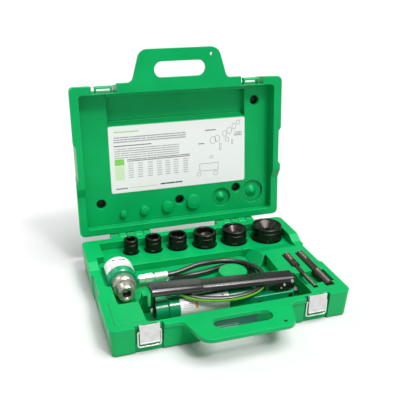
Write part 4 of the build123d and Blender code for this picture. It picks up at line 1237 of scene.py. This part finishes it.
@dataclass
class PumpHandle(Fitting):
    """Folded steel channel with deep ears, and the moulded sleeve over its end.

    Each of the ears' points is (x, drop below the channel's foot).
    """

    grip: Material
    pivot: Point = (0.150, PUMP_Y, 0.080)
    lean: float = math.radians(3.8)
    left: float = -0.168
    right: float = 0.158
    half: float = 0.021
    top: float = 0.089
    flange: float = 0.013
    fold: float = 0.0115
    steel: float = 0.003
    rim: float = 0.0006
    sleeve: float = 0.0016
    sleeve_rim: float = 0.0007
    sleeve_length: float = 0.110
    sleeve_end: float = 0.002
    ears: tuple[tuple[float, float], ...] = ((0.109, 0.0), (0.118, 0.016), (0.153, 0.016),
                                             (0.158, 0.011))

    def shell(self, left: float, right: float, half: float, top: float, shut: bool) -> BMesh:
        """Rounded roof with side walls, open below and at its right end.

        Args:
            left: Its left end.
            right: Its right end.
            half: Half its width.
            top: Height of its roof.
            shut: Whether the left end has a wall.

        Returns:
            The skin without a thickness.
        """
        foot = self.top - self.flange
        bm = box((left, PUMP_Y - half, foot), (right, PUMP_Y + half, top))
        bm.normal_update()
        gone = [face for face in bm.faces if face.normal.z < -0.5 or face.normal.x > 0.5
                or (face.normal.x < -0.5 and not shut)]
        bmesh.ops.delete(bm, geom=gone, context="FACES")
        folds = [edge for edge in bm.edges if all(v.co.z > top - TINY for v in edge.verts)
                 and abs(edge.verts[0].co.x - edge.verts[1].co.x) > MM]
        bmesh.ops.bevel(bm, geom=folds, offset=self.fold, segments=8, profile=0.5,
                        affect="EDGES", material=-1)
        return bm

    def cut_ears(self, bm: BMesh) -> None:
        """Let the walls down at the pivot.

        Args:
            bm: The channel's skin.
        """
        foot = self.top - self.flange
        for x, _ in self.ears[:-1]:
            cut_across(bm, x)
        for x, drop in self.ears:
            low = [v for v in bm.verts
                   if abs(v.co.x - x) < 10 * TINY and v.co.z < foot + 10 * TINY]
            bmesh.ops.translate(bm, verts=low, vec=(0, 0, -drop))

    def finish(self, bm: BMesh, name: str, wall: float, rim: float,
               material: Material, slot: str, node: str) -> None:
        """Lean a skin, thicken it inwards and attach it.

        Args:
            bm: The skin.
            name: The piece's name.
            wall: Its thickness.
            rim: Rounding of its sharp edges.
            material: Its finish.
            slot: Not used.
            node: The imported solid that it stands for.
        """
        lean = turn_about(self.pivot, self.lean, "Y")
        bmesh.ops.transform(bm, matrix=lean, verts=bm.verts)
        bmesh.ops.recalc_face_normals(bm, faces=bm.faces)
        piece = new_mesh(name, bm, material)
        thick = piece.modifiers.new("wall", "SOLIDIFY")
        thick.thickness, thick.offset, thick.use_even_offset = wall, -1.0, True
        soft = piece.modifiers.new("rim", "BEVEL")
        soft.width, soft.segments, soft.limit_method = rim, 2, "ANGLE"
        soft.angle_limit = math.radians(40)
        add_piece(piece, Body.HANDLE, (node,))

    def build(self) -> None:
        """Make the channel and its sleeve."""
        channel = self.shell(self.left, self.right, self.half, self.top, False)
        self.cut_ears(channel)
        self.finish(channel, "handle_channel", self.steel, self.rim, self.material,
                    "handle_black", "pump_handle")
        sleeve = self.shell(self.left - self.sleeve_end, self.left + self.sleeve_length,
                            self.half + self.sleeve, self.top + self.sleeve, True)
        self.finish(sleeve, "handle_sleeve", self.sleeve, self.sleeve_rim, self.grip,
                    "grip_black", "pump_grip")


@dataclass
class HeadPlugs(Fitting):
    """Round plugs, each with a hexagon on it, in the pump head's front face."""

    places: tuple[tuple[float, float], ...] = ((0.074, 0.040), (0.118, 0.034), (0.148, 0.046))
    radius: float = 0.0048
    hexagon: float = 0.0024
    hexagon_thick: float = 0.0004
    proud: float = 0.0014
    soft: float = 0.0005
    facets: int = 30
    face_y: float = PUMP_Y - 0.022

    def build(self) -> None:
        """Make the plugs."""
        bm = bmesh.new()
        for x, z in self.places:
            plug = bmesh.new()
            bmesh.ops.create_cone(plug, cap_ends=True, segments=self.facets,
                                  radius1=self.radius, radius2=self.radius, depth=self.proud)
            top = max(plug.faces, key=lambda face: face.calc_center_median().z)
            bmesh.ops.bevel(plug, geom=list(top.edges), offset=self.soft, segments=2, profile=0.5,
                            affect="EDGES", material=-1)
            bmesh.ops.create_cone(plug, cap_ends=True, segments=6, radius1=self.hexagon,
                                  radius2=self.hexagon, depth=self.hexagon_thick,
                                  matrix=Matrix.Translation((0, 0, self.proud / 2)))
            place = (x, self.face_y - self.proud / 2, z)
            bmesh.ops.transform(plug, matrix=lying_forward(place), verts=plug.verts)
            take_in(bm, plug)
        add_piece(new_mesh("head_plugs", bm, self.material), Body.BASE)


def dress(frame: dict[str, Any]) -> dict[str, Material]:
    """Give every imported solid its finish.

    Args:
        frame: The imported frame.

    Returns:
        The materials by name.
    """
    made = {}
    for finish, nodes in FINISHES:
        made[finish.name] = finish.make()
        for node in nodes:
            mesh = frame["nodes"][node].data
            mesh.materials.clear()
            mesh.materials.append(made[finish.name])
        LOG.info("%s on %d solids", finish.name, len(nodes))
    return made


@dataclass
class Studio:
    """Pale floor, soft lights and the photograph's viewing angle."""

    azimuth: float = math.radians(-18.498)
    elevation: float = math.radians(23.491)
    roll: float = math.radians(0.863)
    place: Point = (-0.41803, -1.17882, 0.78139)
    focal_px: float = 609.22
    frame_px: float = 400.0
    sensor: float = 36.0
    sky_light: float = 0.22
    sky_seen: float = 0.95
    floor_size: float = 14.0
    floor_tone: float = 0.64
    lamps: tuple[tuple[str, Point, float, float], ...] = (
        ("overhead", (0.25, -0.25, 1.0), 50.0, 3.3), ("glint", (0.235, -0.52, 0.82), 10.0, 1.1),
        ("front", (-0.5, -1.0, 0.45), 80.0, 0.4), ("rear", (-0.6, 0.9, 0.9), 35.0, 0.8))

    def camera(self) -> None:
        """Make the camera."""
        turn = (Matrix.Rotation(self.azimuth, 4, "Z")
                @ Matrix.Rotation(math.pi / 2 - self.elevation, 4, "X")
                @ Matrix.Rotation(self.roll, 4, "Z"))
        data = bpy.data.cameras.new("camera")
        data.sensor_width = self.sensor
        data.lens = self.focal_px / self.frame_px * self.sensor
        camera = in_scene("camera", data)
        camera.matrix_world = Matrix.Translation(self.place) @ turn
        bpy.context.scene.camera = camera

    def lights(self) -> None:
        """Hang the wide soft lamps and light the sky."""
        for name, towards, wide, power in self.lamps:
            data = bpy.data.lights.new(name, "SUN")
            data.angle = math.radians(wide)
            data.energy = power
            lamp = in_scene(name, data)
            lamp.rotation_mode = "QUATERNION"
            lamp.rotation_quaternion = Vector(towards).to_track_quat("Z", "Y")
        world = bpy.data.worlds.new("studio")
        world.use_nodes = True
        tree = world.node_tree
        rays = tree.nodes.new("ShaderNodeLightPath")
        choice = tree.nodes.new("ShaderNodeMixShader")
        tree.links.new(rays.outputs["Is Camera Ray"], choice.inputs[0])
        skies = ((tree.nodes["Background"], self.sky_light),
                 (tree.nodes.new("ShaderNodeBackground"), self.sky_seen))
        for n, (sky, strength) in enumerate(skies, 1):
            sky.inputs["Color"].default_value = (1.0, 1.0, 1.0, 1.0)
            sky.inputs["Strength"].default_value = strength
            tree.links.new(sky.outputs[0], choice.inputs[n])
        tree.links.new(choice.outputs[0], tree.nodes["World Output"].inputs["Surface"])
        bpy.context.scene.world = world
        bpy.context.scene.view_settings.view_transform = "Standard"

    def floor(self) -> None:
        """Lay the pale floor."""
        bm = bmesh.new()
        bmesh.ops.create_grid(bm, x_segments=1, y_segments=1, size=self.floor_size)
        paper = Shader("studio_floor")
        paper.set(Base_Color=grey(self.floor_tone), Roughness=0.8)
        new_mesh("studio_floor", bm, paper.material)

    def build(self) -> None:
        """Set up the whole studio."""
        self.camera()
        self.lights()
        self.floor()


def main() -> None:
    logging.basicConfig(level=logging.INFO, format="%(name)s: %(message)s")
    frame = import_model()
    Studio().build()
    finishes = dress(frame)
    oxide = finishes["die_oxide"]
    # The die oxide on the ram's nose thread is painted shade inside its bore.
    fittings = (Hose(RUBBER.make()), *draw_studs(finishes["stud_oxide"]), RamNose(oxide),
                HeadPlugs(oxide), SizeMarks(STAMP.make()), CardDrawing(INK.make()),
                PouchLedges(finishes["lid_plastic"]),
                PumpHandle(finishes["handle_enamel"], finishes["grip_plastic"]))
    for fitting in fittings:
        fitting.build()


if __name__ == "__main__":
    main()
